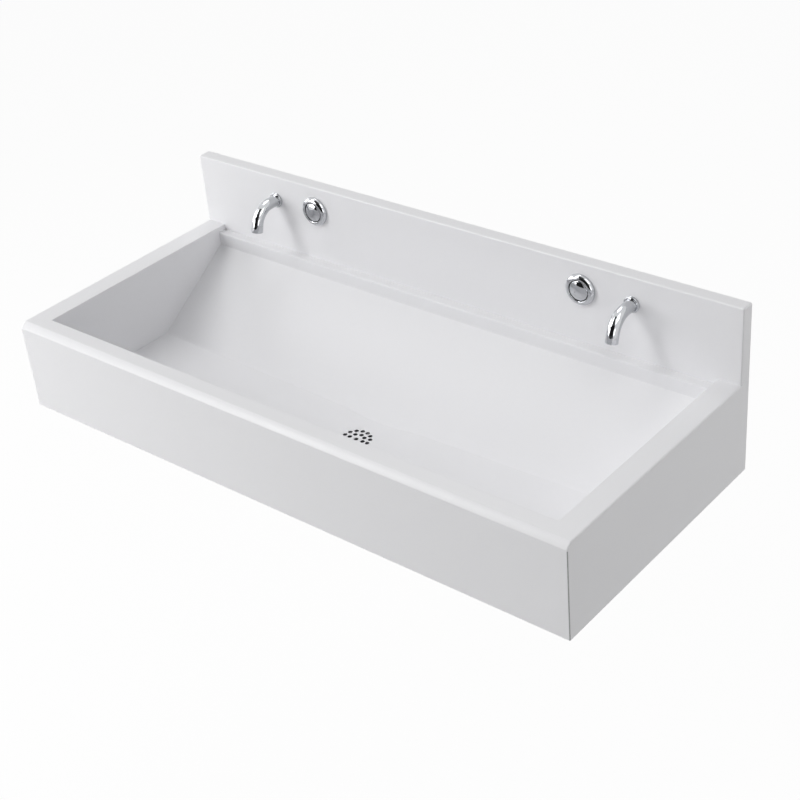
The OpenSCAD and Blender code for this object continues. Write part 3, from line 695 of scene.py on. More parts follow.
# ---- Backing board, wall rail and ribs ----
# Birch plywood, sawn and lightly sanded: a board that fills the back of the splashback, the rail
# that four bolts hold to the wall, and four ribs glued between the rail and the ramp.
PLY_MM = 1.44
END_PLY = "#9A7750"
MIX_FIRST, MIX_SECOND, MIX_RESULT = 6, 7, 2  # the colour sockets of a mix node
RAIL_HOLE_R = 5.5 * MM
RAIL_HOLE_X = 480 * MM
RAIL_HOLE_Z = 25 * MM
RIB_T = 12 * MM
RIB_COUNT = 4
SAWN_EASE = 0.6 * MM


def plywood(name, across):
    """Birch plywood whose plies are stacked along the axis across (0 is X, 1 is Y).

    Sanded pale faces with long grain, and on the sawn edges the plies in turns of light side grain
    and darker end grain, a ply to every 1.44 mm.
    """
    board, tree, shader = new_material(name, ior=1.45)
    grain = speckle(tree, (120, 2.4, 2.4) if across else (2.4, 60, 2.4), detail=4, roughness=0.6)
    place = add_node(tree, "TexCoord")
    split = add_node(tree, "SeparateXYZ", {"Vector": place.outputs["Object"]})
    plies = add_node(
        tree,
        "Math",
        {0: split.outputs["XYZ"[across]], 1: 1 / (2 * PLY_MM * MM)},
        operation="MULTIPLY",
    )
    turn = add_node(tree, "Math", {0: plies.outputs[0]}, operation="FRACT")
    dark = add_node(tree, "Math", {0: turn.outputs[0], 1: 0.5}, operation="GREATER_THAN")
    normal = add_node(tree, "NewGeometry")
    facing = add_node(tree, "SeparateXYZ", {"Vector": normal.outputs["Normal"]})
    flat = add_node(tree, "Math", {0: facing.outputs["XYZ"[across]]}, operation="ABSOLUTE")
    edge = add_node(tree, "Math", {0: flat.outputs[0], 1: 0.7}, operation="LESS_THAN")
    end_ply = add_node(tree, "Math", {0: dark.outputs[0], 1: edge.outputs[0]}, operation="MULTIPLY")
    wood = add_node(tree, "ValToRGB", {"Fac": grain})
    wood.color_ramp.elements[0].position, wood.color_ramp.elements[1].position = 0.3, 0.7
    wood.color_ramp.elements[0].color = hex_colour("#C9AC80")
    wood.color_ramp.elements[1].color = hex_colour("#DDC59C")
    ply = add_node(
        tree,
        "Mix",
        {0: end_ply.outputs[0], MIX_FIRST: wood.outputs["Color"], MIX_SECOND: hex_colour(END_PLY)},
        data_type="RGBA",
    )
    tree.links.new(ply.outputs[MIX_RESULT], shader.inputs["Base Color"])
    vary(tree, shader, "Roughness", grain, 0.6, 0.75)
    roughen(tree, shader, grain, 0.05)
    return board


upright_ply = plywood("birch_plywood_board", 1)
rib_ply = plywood("birch_plywood_rib", 0)

low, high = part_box("splashback_core")
core = start_box("core_board", Vector((low.x, low.y, z_rim)), high, upright_ply)
for x in (-x_in, x_in):
    score((x, 0, 0), (1, 0, 0))
pick("polygons", lambda c, n: n.z < -0.9 and abs(c.x) < x_in)
bpy.ops.mesh.extrude_region_move(TRANSFORM_OT_translate={"value": (0, 0, low.z - z_rim)})
bpy.ops.object.mode_set(mode="OBJECT")
bore_for_stations(core)
flat_and_smooth(core)
settle(core, "backing_board", "splashback_core")

rail_low, rail_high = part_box("wall_rail")
rail = start_box("rail_board", rail_low, rail_high, upright_ply)
ease(SAWN_EASE, lambda a, b: True, 2)
for x in (-RAIL_HOLE_X, RAIL_HOLE_X):
    for z in (-RAIL_HOLE_Z, RAIL_HOLE_Z):
        bore_through(rail, RAIL_HOLE_R, Vector((x, 0, z)))
flat_and_smooth(rail)
settle(rail, "backing_board", "wall_rail")

low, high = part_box("support_ribs")
rib_half = X * RIB_T / 2
brace = Vector((0, high.y - low.y, rail_low.z - low.z)).normalized()
ribs = []
for i in range(RIB_COUNT):
    rib_foot = Vector(((i - (RIB_COUNT - 1) / 2) * x_in / 2, low.y, low.z))
    rib_head = Vector((rib_foot.x, high.y, high.z))
    ribs.append(start_box("rib_boards", rib_foot - rib_half, rib_head + rib_half, rib_ply))
    cut_off(ramp_head - ramp_up * sheet_t, ramp_up)
    cut_off((0, high.y, rail_low.z), X.cross(brace))
    ease(SAWN_EASE, lambda a, b: True, 2)
join_all(ribs)
flat_and_smooth(ribs[0])
settle(ribs[0], "backing_board", "support_ribs")

# ---- Waste ----
# A moulded cup under the grid, on a rubber gasket, held by four stainless screws that bite into the
# floor from below. Its tail carries a 1 1/2 inch pipe thread for the trap.
TURN_STEPS = 64
MOUTH_R_MM = 32.5
FLANGE_R_MM = 48
FLANGE_T_MM = 5
GASKET_T_MM = 2
CUP_R_MM = 35.5
CUP_FILLET_MM = 2
CUP_DEPTH_MM = 30
TAIL_R_MM = 23.9
TAIL_BORE_R_MM = 20
TAIL_TOP_MM, TAIL_LOW_MM = -44, -76
TAIL_LEAD_MM = 0.7
TAIL_PITCH_MM = 2.309
THREAD_DEPTH = 0.64  # of the pitch


def turned(name, profile_mm, *materials, close=True, steps=TURN_STEPS):
    """Draws a profile of (radius, height) points corner by corner and spins it about Z."""
    bpy.ops.object.select_all(action="DESELECT")
    bpy.ops.mesh.primitive_plane_add(size=MM)
    piece = own_it(name, *materials)
    bpy.ops.object.mode_set(mode="EDIT")
    bpy.ops.mesh.select_mode(type="VERT")
    bpy.ops.mesh.select_all(action="SELECT")
    bpy.ops.mesh.merge(type="CENTER")
    points = [Vector((r * MM, 0, z * MM)) for r, z in profile_mm]
    bpy.ops.transform.translate(value=points[0])
    here = points[0]
    for there in points[1:] + points[:1] * close:
        bpy.ops.mesh.extrude_vertices_move(TRANSFORM_OT_translate={"value": there - here})
        here = there
    bpy.ops.mesh.select_all(action="SELECT")
    bpy.ops.mesh.spin(steps=steps, angle=2 * pi, center=(0, 0, 0), axis=(0, 0, 1))
    bpy.ops.mesh.select_all(action="SELECT")
    bpy.ops.mesh.remove_doubles(threshold=0.001 * MM)
    bpy.ops.mesh.normals_make_consistent(inside=False)
    bpy.ops.object.mode_set(mode="OBJECT")
    return piece


def rounds(*rings_mm):
    """A rule that holds for the ring edges at these radii and heights."""

    def holds(a, b):
        return any(
            all(near(hypot(p.x, p.y), r * MM) and near(p.z, z * MM) for p in (a, b)) for r, z in rings_mm
        )

    return holds


def cut_thread(piece, radius, pitch, low, high):
    """Cuts a thread about Z into the rings of points at this radius, running out at both ends."""
    for vertex in piece.data.vertices:
        x, y, z = vertex.co
        if near(hypot(x, y), radius) and low < z < high:
            turn = (z / pitch - atan2(y, x) / (2 * pi)) % 1
            run_out = min(1, (z - low) / pitch, (high - z) / pitch)
            depth = THREAD_DEPTH * pitch * run_out * abs(2 * turn - 1)
            vertex.co.x -= x / radius * depth
            vertex.co.y -= y / radius * depth


def thread_rings(radius_mm, low_mm, high_mm, pitch_mm):
    """Profile points along a thread, four to a pitch."""
    count = round(4 * abs(high_mm - low_mm) / pitch_mm)
    return [(radius_mm, low_mm + (high_mm - low_mm) * i / count) for i in range(count + 1)]


# Glass-filled polypropylene, moulded: dark grey, half dull, with a fine even grain.
waste_plastic, tree, shader = new_material("moulded_grey_polypropylene", ior=1.49)
tint(tree, shader, speckle(tree, (8, 8, 8)), "#55585A", "#5C5F61")
vary(tree, shader, "Roughness", speckle(tree, (1.2, 1.2, 1.2)), 0.42, 0.55)
roughen(tree, shader, speckle(tree, (0.8, 0.8, 0.8)), 0.02)

# EPDM rubber, moulded: near black and dull, with a faint bloom.
rubber, tree, shader = new_material("moulded_epdm_rubber", ior=1.52)
tint(tree, shader, speckle(tree, (5, 5, 5)), "#1E1E20", "#2A2A2C")
vary(tree, shader, "Roughness", speckle(tree, (2, 2, 2)), 0.6, 0.8)
roughen(tree, shader, speckle(tree, (0.7, 0.7, 0.7)), 0.02)

# Stainless steel, turned: grey with fine lathe marks round the axis.
stainless, tree, shader = new_material("turned_stainless_steel", metallic=1.0)
tint(tree, shader, speckle(tree, (4, 4, 0.4)), "#B4B6B9", "#C6C8CA")
vary(tree, shader, "Roughness", speckle(tree, (3, 3, 0.3)), 0.22, 0.34)
roughen(tree, shader, speckle(tree, (3, 3, 0.25)), 0.004)

z_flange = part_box("waste_gasket")[0].z
screw_spots = ring_of_places(4, SCREW_CIRCLE, pi / 4)


def bored_for_screws(piece):
    """Drills the flange for the four screws."""
    for spot in screw_spots:
        bit = drill_bit(SCREW_HOLE_D, -BIT_OVERLAP, BIT_OVERLAP)
        bit.location = spot + Vector((0, 0, z_flange))
        carve(piece, bit)


def moved(piece, by):
    """Moves a finished piece's mesh into place."""
    use(piece)
    piece.location = by
    bpy.ops.object.transform_apply(location=True, rotation=True, scale=True)
    return piece


cup_side = [
    (MOUTH_R_MM, 0),
    (FLANGE_R_MM, 0),
    (FLANGE_R_MM, -FLANGE_T_MM),
    (CUP_R_MM + CUP_FILLET_MM, -FLANGE_T_MM),
    (CUP_R_MM, -FLANGE_T_MM - CUP_FILLET_MM),
    (CUP_R_MM, -CUP_DEPTH_MM),
]
thread = thread_rings(TAIL_R_MM, TAIL_LOW_MM + 1, TAIL_TOP_MM - 3, TAIL_PITCH_MM)
tail_side = [(TAIL_R_MM, TAIL_TOP_MM), (TAIL_R_MM, TAIL_TOP_MM - 2)] + thread[::-1]
cup_inside = [
    (TAIL_R_MM - TAIL_LEAD_MM, TAIL_LOW_MM),
    (TAIL_BORE_R_MM, TAIL_LOW_MM),
    (TAIL_BORE_R_MM, TAIL_TOP_MM),
    (MOUTH_R_MM, -CUP_DEPTH_MM),
]
cup = turned("waste_cup_moulding", cup_side + tail_side + cup_inside, waste_plastic)
ease(1 * MM, rounds(*cup_side), 3)
cut_thread(
    cup, TAIL_R_MM * MM, TAIL_PITCH_MM * MM, (TAIL_LOW_MM + 0.9) * MM, (TAIL_TOP_MM - 2.9) * MM
)
moved(cup, Vector((0, y_drain, z_flange)))
bored_for_screws(cup)
flat_and_smooth(cup, 30)
settle(cup, "waste_plastic", "waste_cup")

gasket_corners = (
    (MOUTH_R_MM, 0), (FLANGE_R_MM, 0), (FLANGE_R_MM, GASKET_T_MM), (MOUTH_R_MM, GASKET_T_MM)
)
gasket = turned("waste_gasket_ring", gasket_corners, rubber)
ease(0.4 * MM, rounds(*gasket_corners), 2)
moved(gasket, Vector((0, y_drain, z_flange)))
bored_for_screws(gasket)
flat_and_smooth(gasket, 30)
settle(gasket, "rubber", "waste_gasket")

# A pan-head screw, head down, with a cross recess, and a thread that forms its own way in the sheet.
SCREW_R_MM = 2.5
SCREW_PITCH_MM = 1.8
SHANK_LOW_MM, SHANK_HIGH_MM = -4.9, 9.0
HEAD_R_MM = 4.5
CROWN_R_MM, CROWN_EDGE_MM = 2.6, -6.6
POINT_R_MM, POINT_END_MM = 1.4, 9.7
CROSS_RECESS = (4.4 * MM, 1 * MM, 3.6 * MM)

head_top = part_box("waste_screws")[0].z - z_flange
shank = thread_rings(SCREW_R_MM, SHANK_LOW_MM, SHANK_HIGH_MM, SCREW_PITCH_MM)
crown = [(CROWN_R_MM, head_top / MM), (HEAD_R_MM, CROWN_EDGE_MM)]
head = [(0, head_top / MM)] + crown + [(HEAD_R_MM, -FLANGE_T_MM), (SCREW_R_MM, -FLANGE_T_MM)]
point = [(POINT_R_MM, POINT_END_MM), (0, POINT_END_MM)]
screw = turned("waste_screw_set", head + shank + point, stainless, close=False, steps=32)
ease(0.9 * MM, rounds(*crown), 4)
shank_low, shank_high = (SHANK_LOW_MM + 0.1) * MM, (SHANK_HIGH_MM - 0.1) * MM
cut_thread(screw, SCREW_R_MM * MM, SCREW_PITCH_MM * MM, shank_low, shank_high)
for turn in (0, pi / 2):
    bpy.ops.object.select_all(action="DESELECT")
    bpy.ops.mesh.primitive_cube_add(
        size=1, location=(0, 0, head_top), rotation=(0, 0, turn), scale=CROSS_RECESS
    )
    bit = own_it("bit")
    pick("polygons", lambda c, n: n.z > 0.9)
    bpy.ops.transform.resize(value=(0.5, 0.5, 1))
    bpy.ops.object.mode_set(mode="OBJECT")
    carve(screw, bit)
screws = []
for spot in screw_spots:
    screws.append(moved(copy_of(screw, "waste_screw_set"), spot + Vector((0, 0, z_flange))))
bpy.data.objects.remove(screw)
join_all(screws)
screws[0].name = screws[0].data.name = "waste_screw_set"
flat_and_smooth(screws[0], 30)
settle(screws[0], "stainless", "waste_screws")

# ---- Spouts ----
# Each spout is a drawn brass tube, bent and chrome-plated, with a solid root that carries a 1/2 inch
# pipe thread through the splashback. It is drawn out ring by ring: up its outside and back inside.
SPOUT_STEPS = 48
SPOUT_R = 11 * MM
SPOUT_BORE_R = 9.5 * MM
SUPPLY_R = 10.475 * MM
SUPPLY_BORE_R = 6 * MM
SUPPLY_PITCH = 1.814 * MM
COLLAR_LIP = 2 * MM
SPOUT_ROOT = 4 * MM
SPOUT_REACH = 22 * MM
BEND_R = 38 * MM
BEND = radians(76)
BEND_STEPS = 28
TAIL_BACK = 49.5 * MM
TAIL_LEAD = 1 * MM
THREAD_FRONT = -6 * MM
SEAM_EASE = 0.35 * MM

# Chrome plate over buffed brass: a near-perfect mirror, faintly cool, with a trace of buffing haze.
chrome, tree, shader = new_material("polished_chrome_plate", metallic=1.0)
tint(tree, shader, speckle(tree, (9, 9, 9)), "#C6C8CB", "#CDCED1")
vary(tree, shader, "Roughness", speckle(tree, (6, 6, 6), detail=5), 0.035, 0.075)

# Brass, turned and left bare behind the wall: warm yellow, dulled in places, with lathe marks.
brass, tree, shader = new_material("turned_brass", metallic=1.0)
tint(tree, shader, speckle(tree, (6, 0.5, 6), detail=4), "#C9A457", "#DDBB70")
vary(tree, shader, "Roughness", speckle(tree, (5, 0.4, 5)), 0.24, 0.4)
roughen(tree, shader, speckle(tree, (4, 0.3, 4)), 0.006)

spout_low, spout_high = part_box("right_spout")
spout_x = (spout_low.x + spout_high.x) / 2
station_z = sum(c.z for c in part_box("right_spout_collar")) / 2
bend_centre = Vector((0, -BEND_R, SPOUT_REACH))


def start_ring(name, radius, height, *materials):
    """A bare ring about Z, open for drawing out."""
    bpy.ops.object.select_all(action="DESELECT")
    bpy.ops.mesh.primitive_circle_add(vertices=SPOUT_STEPS, radius=radius, location=(0, 0, height))
    piece = own_it(name, *materials)
    bpy.ops.object.mode_set(mode="EDIT")
    bpy.ops.mesh.select_mode(type="VERT")
    bpy.ops.mesh.select_all(action="SELECT")
    return piece


def draw_to(old, new):
    """Draws the selected ring along Z from one height to another."""
    bpy.ops.mesh.extrude_region_move(TRANSFORM_OT_translate={"value": (0, 0, new - old)})


def step_to(old, new, centre):
    """Draws the selected ring inwards or outwards round its centre, from one radius to another."""
    bpy.ops.mesh.extrude_region_move(TRANSFORM_OT_translate={"value": (0, 0, 0)})
    bpy.ops.transform.resize(value=(new / old,) * 3, center_override=centre)


def bend_by(angle):
    """Sweeps the selected ring round the bend."""
    bpy.ops.mesh.spin(steps=BEND_STEPS, angle=angle, center=bend_centre, axis=(1, 0, 0))


def close_up(piece):
    """Closes the seam where the last ring meets the first, and points the faces outwards."""
    bpy.ops.mesh.select_all(action="SELECT")
    bpy.ops.mesh.remove_doubles(threshold=0.005 * MM)
    bpy.ops.mesh.normals_make_consistent(inside=False)
    bpy.ops.object.mode_set(mode="OBJECT")
    return piece


STATION_TURN = Matrix(((1, 0, 0), (0, 0, -1), (0, 1, 0))).to_4x4()


def fit_in_stations(piece, x, slot, node, *, part=None, body="root", angle=30):
    """Sets a fitting into the right station and, mirrored, into the left one.

    The fitting was made with X along the wall, Y up and Z out of the splashback, about its axis.
    """
    for side, word in ((-1, "left"), (1, "right")):
        fitted = copy_of(piece, f"{word}_{part or piece.name}")
        place = Matrix.Translation((x, y_splash, station_z)) @ STATION_TURN
        fitted.matrix_world = Matrix.Diagonal((side, 1, 1, 1)) @ place
        bpy.ops.object.transform_apply(location=True, rotation=True, scale=True)
        bpy.ops.object.mode_set(mode="EDIT")
        bpy.ops.mesh.select_all(action="SELECT")
        bpy.ops.mesh.normals_make_consistent(inside=False)
        bpy.ops.object.mode_set(mode="OBJECT")
        bpy.ops.object.shade_smooth_by_angle(angle=radians(angle))
        settle(fitted, slot, f"{word}_{node}", body=body if body == "root" else f"{word}_{body}")
    bpy.data.objects.remove(piece)


tip = bend_centre + Vector((0, BEND_R * cos(BEND), BEND_R * sin(BEND)))
spout = start_ring("spout_tube", SPOUT_R, COLLAR_LIP, chrome)
draw_to(COLLAR_LIP, SPOUT_REACH)
bend_by(-BEND)
step_to(SPOUT_R, SPOUT_R - SEAM_EASE, tip)
step_to(SPOUT_R - SEAM_EASE, SPOUT_BORE_R, tip)
bend_by(BEND)
draw_to(SPOUT_REACH, COLLAR_LIP + SPOUT_ROOT)
root = Vector((0, 0, COLLAR_LIP + SPOUT_ROOT))
step_to(SPOUT_BORE_R, SUPPLY_BORE_R, root)
draw_to(root.z, -TAIL_BACK)
step_to(SUPPLY_BORE_R, SUPPLY_R - TAIL_LEAD, Vector((0, 0, -TAIL_BACK)))
draw_to(0, TAIL_LEAD)
widen = SUPPLY_R / (SUPPLY_R - TAIL_LEAD)
bpy.ops.transform.resize(value=(widen, widen, 1), center_override=(0, 0, 0))
thread_back = TAIL_LEAD - TAIL_BACK
rings = round((THREAD_FRONT - thread_back) / (SUPPLY_PITCH / 4))
for i in range(rings):
    draw_to(0, (THREAD_FRONT - thread_back) / rings)
draw_to(THREAD_FRONT, COLLAR_LIP)
step_to(SUPPLY_R, SPOUT_R, Vector((0, 0, COLLAR_LIP)))
close_up(spout)
cut_thread(spout, SUPPLY_R, SUPPLY_PITCH, thread_back - 0.1 * MM, THREAD_FRONT + 0.1 * MM)
fit_in_stations(spout, spout_x, "chrome", "spout")

# ---- Collars and outlets ----
# A loose chromed ring covers the hole round each spout, and a short chromed insert with a drilled
# disc closes its tip. Both meet the tube in a hairline joint.
TAIL_FIT_MM, TUBE_FIT_MM = 10.575, 11.1
COLLAR_R_MM = 14.5
COLLAR_T_MM = 5
COLLAR_GROOVE_MM = 0.5
GROOVE_LOW_MM, GROOVE_HIGH_MM = 1.6, 2.5
OUTLET_R_MM, OUTLET_RIM_MM, OUTLET_BORE_MM = 11, 9.5, 7.5
OUTLET_L_MM = 14
SPIGOT_R_MM, SPIGOT_L_MM = 9.1, 4
DISC_LOW_MM, DISC_HIGH_MM = 10, 11
JET_COUNT = 8
JET_D = 2.6 * MM
JET_CIRCLE = 10 * MM

collar_lines = [(COLLAR_R_MM, 0), (COLLAR_R_MM, GROOVE_LOW_MM), (COLLAR_R_MM, GROOVE_HIGH_MM)]
collar = turned(
    "spout_collar_ring",
    (
        (TAIL_FIT_MM, 0),
        collar_lines[0],
        collar_lines[1],
        (COLLAR_R_MM - COLLAR_GROOVE_MM, GROOVE_LOW_MM + 0.2),
        (COLLAR_R_MM - COLLAR_GROOVE_MM, GROOVE_HIGH_MM - 0.2),
        collar_lines[2],
        (COLLAR_R_MM, COLLAR_T_MM),
        (TUBE_FIT_MM, COLLAR_T_MM),
        (TUBE_FIT_MM, COLLAR_LIP / MM),
        (TAIL_FIT_MM, COLLAR_LIP / MM),
    ),
    chrome,
)
ease(1.1 * MM, rounds((COLLAR_R_MM, COLLAR_T_MM)), 5)
ease(0.25 * MM, rounds((TUBE_FIT_MM, COLLAR_T_MM), *collar_lines), 2)
fit_in_stations(collar, spout_x, "chrome", "spout_collar")

outlet_mouth = ((OUTLET_R_MM, OUTLET_L_MM), (OUTLET_RIM_MM, OUTLET_L_MM))
outlet = turned(
    "spout_outlet_insert",
    (
        (0, DISC_LOW_MM),
        (OUTLET_BORE_MM, DISC_LOW_MM),
        (OUTLET_BORE_MM, -SPIGOT_L_MM),
        (SPIGOT_R_MM, -SPIGOT_L_MM),
        (SPIGOT_R_MM, 0),
        (OUTLET_R_MM - SEAM_EASE / MM, 0),
        (OUTLET_R_MM, SEAM_EASE / MM),
        *outlet_mouth,
        (OUTLET_RIM_MM, DISC_HIGH_MM),
        (0, DISC_HIGH_MM),
    ),
    chrome,
    close=False,
)
ease(0.45 * MM, rounds(*outlet_mouth), 3)
bits = [drill_bit(JET_D, (DISC_LOW_MM - 2) * MM, (DISC_HIGH_MM + 1) * MM)]
for i in range(JET_COUNT):
    angle = 2 * pi * i / JET_COUNT
    bits.append(copy_of(bits[0], "bit"))
    bits[-1].location = (JET_CIRCLE / 2 * cos(angle), JET_CIRCLE / 2 * sin(angle), 0)
carve(outlet, join_all(bits))
outlet.matrix_world = Matrix.Translation(tip) @ Matrix.Rotation(BEND, 4, "X")
bpy.ops.object.transform_apply(location=True, rotation=True, scale=True)
fit_in_stations(outlet, spout_x, "chrome", "spout_outlet")

# ---- Washers and nuts behind the splashback ----
# A rubber washer and a turned brass nut hold each fitting, and two long nuts close each link pipe
# on its bosses. All the nuts are chamfered on both faces, at 30 degrees.
BODY_FIT_MM = 21.1
SHEET_BACK_MM, WASHER_BACK_MM, NUT_BACK_MM = -25, -26.5, -34
NUT_FACE = 0.95  # of the width across flats
NUT_CHAMFER = radians(30)
NUT_LEAD_MM = 0.6


def nut(name, across_mm, bore_mm, low_mm, high_mm):
    """A hexagon nut about Z: a prism met with a chamfered, bored blank."""
    radius = across_mm / sqrt(3) + 0.2
    face = NUT_FACE * across_mm / 2
    fall = (radius - face) * tan(NUT_CHAMFER)
    blank = turned(
        "blank",
        (
            (bore_mm, low_mm + NUT_LEAD_MM),
            (bore_mm + NUT_LEAD_MM, low_mm),
            (face, low_mm),
            (radius, low_mm + fall),
            (radius, high_mm - fall),
            (face, high_mm),
            (bore_mm + NUT_LEAD_MM, high_mm),
            (bore_mm, high_mm - NUT_LEAD_MM),
        ),
    )
    bpy.ops.object.select_all(action="DESELECT")
    bpy.ops.mesh.primitive_cylinder_add(
        vertices=6,
        radius=across_mm / sqrt(3) * MM,
        depth=(high_mm - low_mm + 2) * MM,
        location=(0, 0, (low_mm + high_mm) / 2 * MM),
        rotation=(0, 0, pi / 6),
    )
    prism = own_it(name, brass)
    ease(0.3 * MM, lambda a, b: not near(a.z, b.z), 2)
    carve(prism, blank, "INTERSECT")
    return prism


def washer(name, outer_mm, bore_mm, low_mm, high_mm):
    """A rubber washer about Z, with its edges eased."""
    corners = ((bore_mm, low_mm), (outer_mm, low_mm), (outer_mm, high_mm), (bore_mm, high_mm))
    ring = turned(name, corners, rubber)
    ease(0.3 * MM, rounds(*corners), 2)
    return ring


bezel_low, bezel_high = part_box("right_button_bezel")
button_x = (bezel_low.x + bezel_high.x) / 2
station_gap_mm = (spout_x - button_x) / MM

spout_washer = washer("spout_washer_ring", 14.5, TAIL_FIT_MM, WASHER_BACK_MM, SHEET_BACK_MM)
fit_in_stations(spout_washer, spout_x, "rubber", "spout_washer")
backnut = nut("spout_backnut_hex", 30, TAIL_FIT_MM, NUT_BACK_MM, WASHER_BACK_MM)
fit_in_stations(backnut, spout_x, "brass", "spout_backnut")
valve_washer = washer("valve_washer_ring", 27, BODY_FIT_MM, WASHER_BACK_MM, SHEET_BACK_MM)
fit_in_stations(valve_washer, button_x, "rubber", "valve_washer")
locknut = nut("valve_locknut_hex", 54, BODY_FIT_MM, NUT_BACK_MM, WASHER_BACK_MM)
fit_in_stations(locknut, button_x, "brass", "valve_locknut")

# ---- Feed elbow and link pipe ----
# A brass elbow screws onto each spout's tail, and a drawn copper pipe brings the water across from
# the valve. The pipe's ends sit in the bosses, under the link nuts.
LINK_Z_MM = -56
LINK_BACK = Matrix.Translation((0, 0, LINK_Z_MM * MM))
ALONG_LINK = LINK_BACK @ Matrix.Rotation(pi / 2, 4, "Y")
BACK_ALONG_LINK = LINK_BACK @ Matrix.Rotation(-pi / 2, 4, "Y")
ELBOW_R_MM, ELBOW_BACK_MM, ELBOW_FRONT_MM = 13.5, -69.5, -36
TAIL_SOCKET_MM, SOCKET_MOUTH_R_MM = -49.8, 11.6
BOSS_R_MM, BOSS_EASE_MM = 10, 0.7
VALVE_BOSS, ELBOW_BOSS = 32, 30
VALVE_SHOULDER, ELBOW_SHOULDER = 20, 18
WATERWAY_R_MM = 4.5
PIPE_R_MM, PIPE_BORE_R_MM, PIPE_SOCKET_R_MM = 7.5, 6.6, 7.6
PIPE_REACH = 11.7
NUT_OVER_BOSS = ((0, -7), (10.1, -7), (10.1, 0.3), (0, 0.3))

copper, tree, shader = new_material("drawn_copper_pipe", metallic=1.0)
tint(tree, shader, speckle(tree, (14, 5, 5), detail=5), "#B9724F", "#D9936B")
vary(tree, shader, "Roughness", speckle(tree, (9, 3, 3), detail=4), 0.2, 0.42)
roughen(tree, shader, speckle(tree, (12, 0.5, 0.5)), 0.004)


def placed(piece, place):
    """Lays a piece made about Z where this matrix puts it."""
    use(piece)
    piece.matrix_world = place
    bpy.ops.object.transform_apply(location=True, rotation=True, scale=True)
    return piece


def hollow(piece, profile_mm, place=Matrix()):
    """Turns a plug of this profile out of the piece."""
    carve(piece, placed(turned("plug", profile_mm, close=False), place))


elbow_ends = ((ELBOW_R_MM, ELBOW_BACK_MM), (ELBOW_R_MM, ELBOW_FRONT_MM))
elbow = turned(
    "feed_elbow_casting",
    ((0, ELBOW_BACK_MM), *elbow_ends, (0, ELBOW_FRONT_MM)),
    brass,
    close=False,
)
ease(3.5 * MM, rounds(elbow_ends[0]), 6)
ease(0.8 * MM, rounds(elbow_ends[1]), 3)
boss = turned("boss", ((0, -ELBOW_BOSS), (BOSS_R_MM, -ELBOW_BOSS), (BOSS_R_MM, 0), (0, 0)), close=False)
ease(BOSS_EASE_MM * MM, rounds((BOSS_R_MM, -ELBOW_BOSS)), 2)
carve(elbow, placed(boss, ALONG_LINK), "UNION")
tail_socket = (
    (0, TAIL_SOCKET_MM),
    (TAIL_FIT_MM, TAIL_SOCKET_MM),
    (TAIL_FIT_MM, ELBOW_FRONT_MM - 0.8),
    (SOCKET_MOUTH_R_MM, ELBOW_FRONT_MM + 1),
    (0, ELBOW_FRONT_MM + 1),
)
hollow(elbow, tail_socket)
waterway_top = TAIL_SOCKET_MM + 0.8
waterway = ((0, LINK_Z_MM), (WATERWAY_R_MM, LINK_Z_MM), (WATERWAY_R_MM, waterway_top), (0, waterway_top))
hollow(elbow, waterway)
pipe_socket = (
    (0, -ELBOW_BOSS - 1),
    (PIPE_SOCKET_R_MM, -ELBOW_BOSS - 1),
    (PIPE_SOCKET_R_MM, -ELBOW_SHOULDER),
    (WATERWAY_R_MM, -ELBOW_SHOULDER),
    (WATERWAY_R_MM, 0),
    (0, 0),
)
hollow(elbow, pipe_socket, ALONG_LINK)
fit_in_stations(elbow, spout_x, "brass", "feed_elbow")

pipe_from_mm = VALVE_BOSS - PIPE_REACH
pipe_to_mm = station_gap_mm - ELBOW_BOSS + PIPE_REACH
pipe_ends = ((PIPE_R_MM, pipe_from_mm), (PIPE_R_MM, pipe_to_mm))
pipe = turned(
    "link_pipe_tube",
    ((PIPE_BORE_R_MM, pipe_from_mm), *pipe_ends, (PIPE_BORE_R_MM, pipe_to_mm)),
    copper,
)
ease(0.25 * MM, rounds(*pipe_ends), 2)
placed(pipe, ALONG_LINK)
fit_in_stations(pipe, button_x, "copper", "link_pipe")

link_nut = nut("link_nut_pair", 24, PIPE_SOCKET_R_MM, -6, 8)
hollow(link_nut, NUT_OVER_BOSS)
link_nuts = []
for x_mm, place in ((VALVE_BOSS, ALONG_LINK), (station_gap_mm - ELBOW_BOSS, BACK_ALONG_LINK)):
    link_nuts.append(placed(copy_of(link_nut, "link_nut"), Matrix.Translation(X * x_mm * MM) @ place))
bpy.data.objects.remove(link_nut)
fit_in_stations(join_all(link_nuts), button_x, "brass", "link_nuts", part="link_nut_pair")

# ---- Push valves ----
# A turned brass body passes through the splashback and holds the button's cup in front, the stem's
# guide and the water chamber behind. The cup's mouth is coloured as black rubber: painted shade for
# the gap round the button. The undercut inlet takes the supply hose from below.
VALVE_PITCH = 1.5 * MM
BODY_R_MM, BACK_R_MM = 21, 17
BODY_BACK_MM, SHOULDER_MM, BODY_FRONT_MM = -70, -35, 4
BODY_THREAD_LOW_MM, BODY_THREAD_HIGH_MM = -34.6, -12.6
WELL_R_MM, WELL_FLOOR_MM = 18.7, -12
# Height from which the cup's mouth is coloured black rubber: painted shade for the gap round the button.
MOUTH_SHADE_MM = -1
CHAMBER_R_MM, CHAMBER_FRONT_MM = 8, -30
GUIDE_R_MM = 4.05
INLET_R_MM, INLET_END_MM = 9.475, -36
INLET_THREAD_LOW_MM, INLET_THREAD_HIGH_MM = -35.2, -19.6
INLET_BORE_R_MM = 6
PLUG_R_MM, PLUG_SPIGOT_R_MM = 15, 7.9
PLUG_BACK_MM, PLUG_FRONT_MM = -75, -66
RECESS_R, RECESS_DEPTH = 6 * MM, 2.5 * MM
BELOW = LINK_BACK @ Matrix.Rotation(-pi / 2, 4, "X")

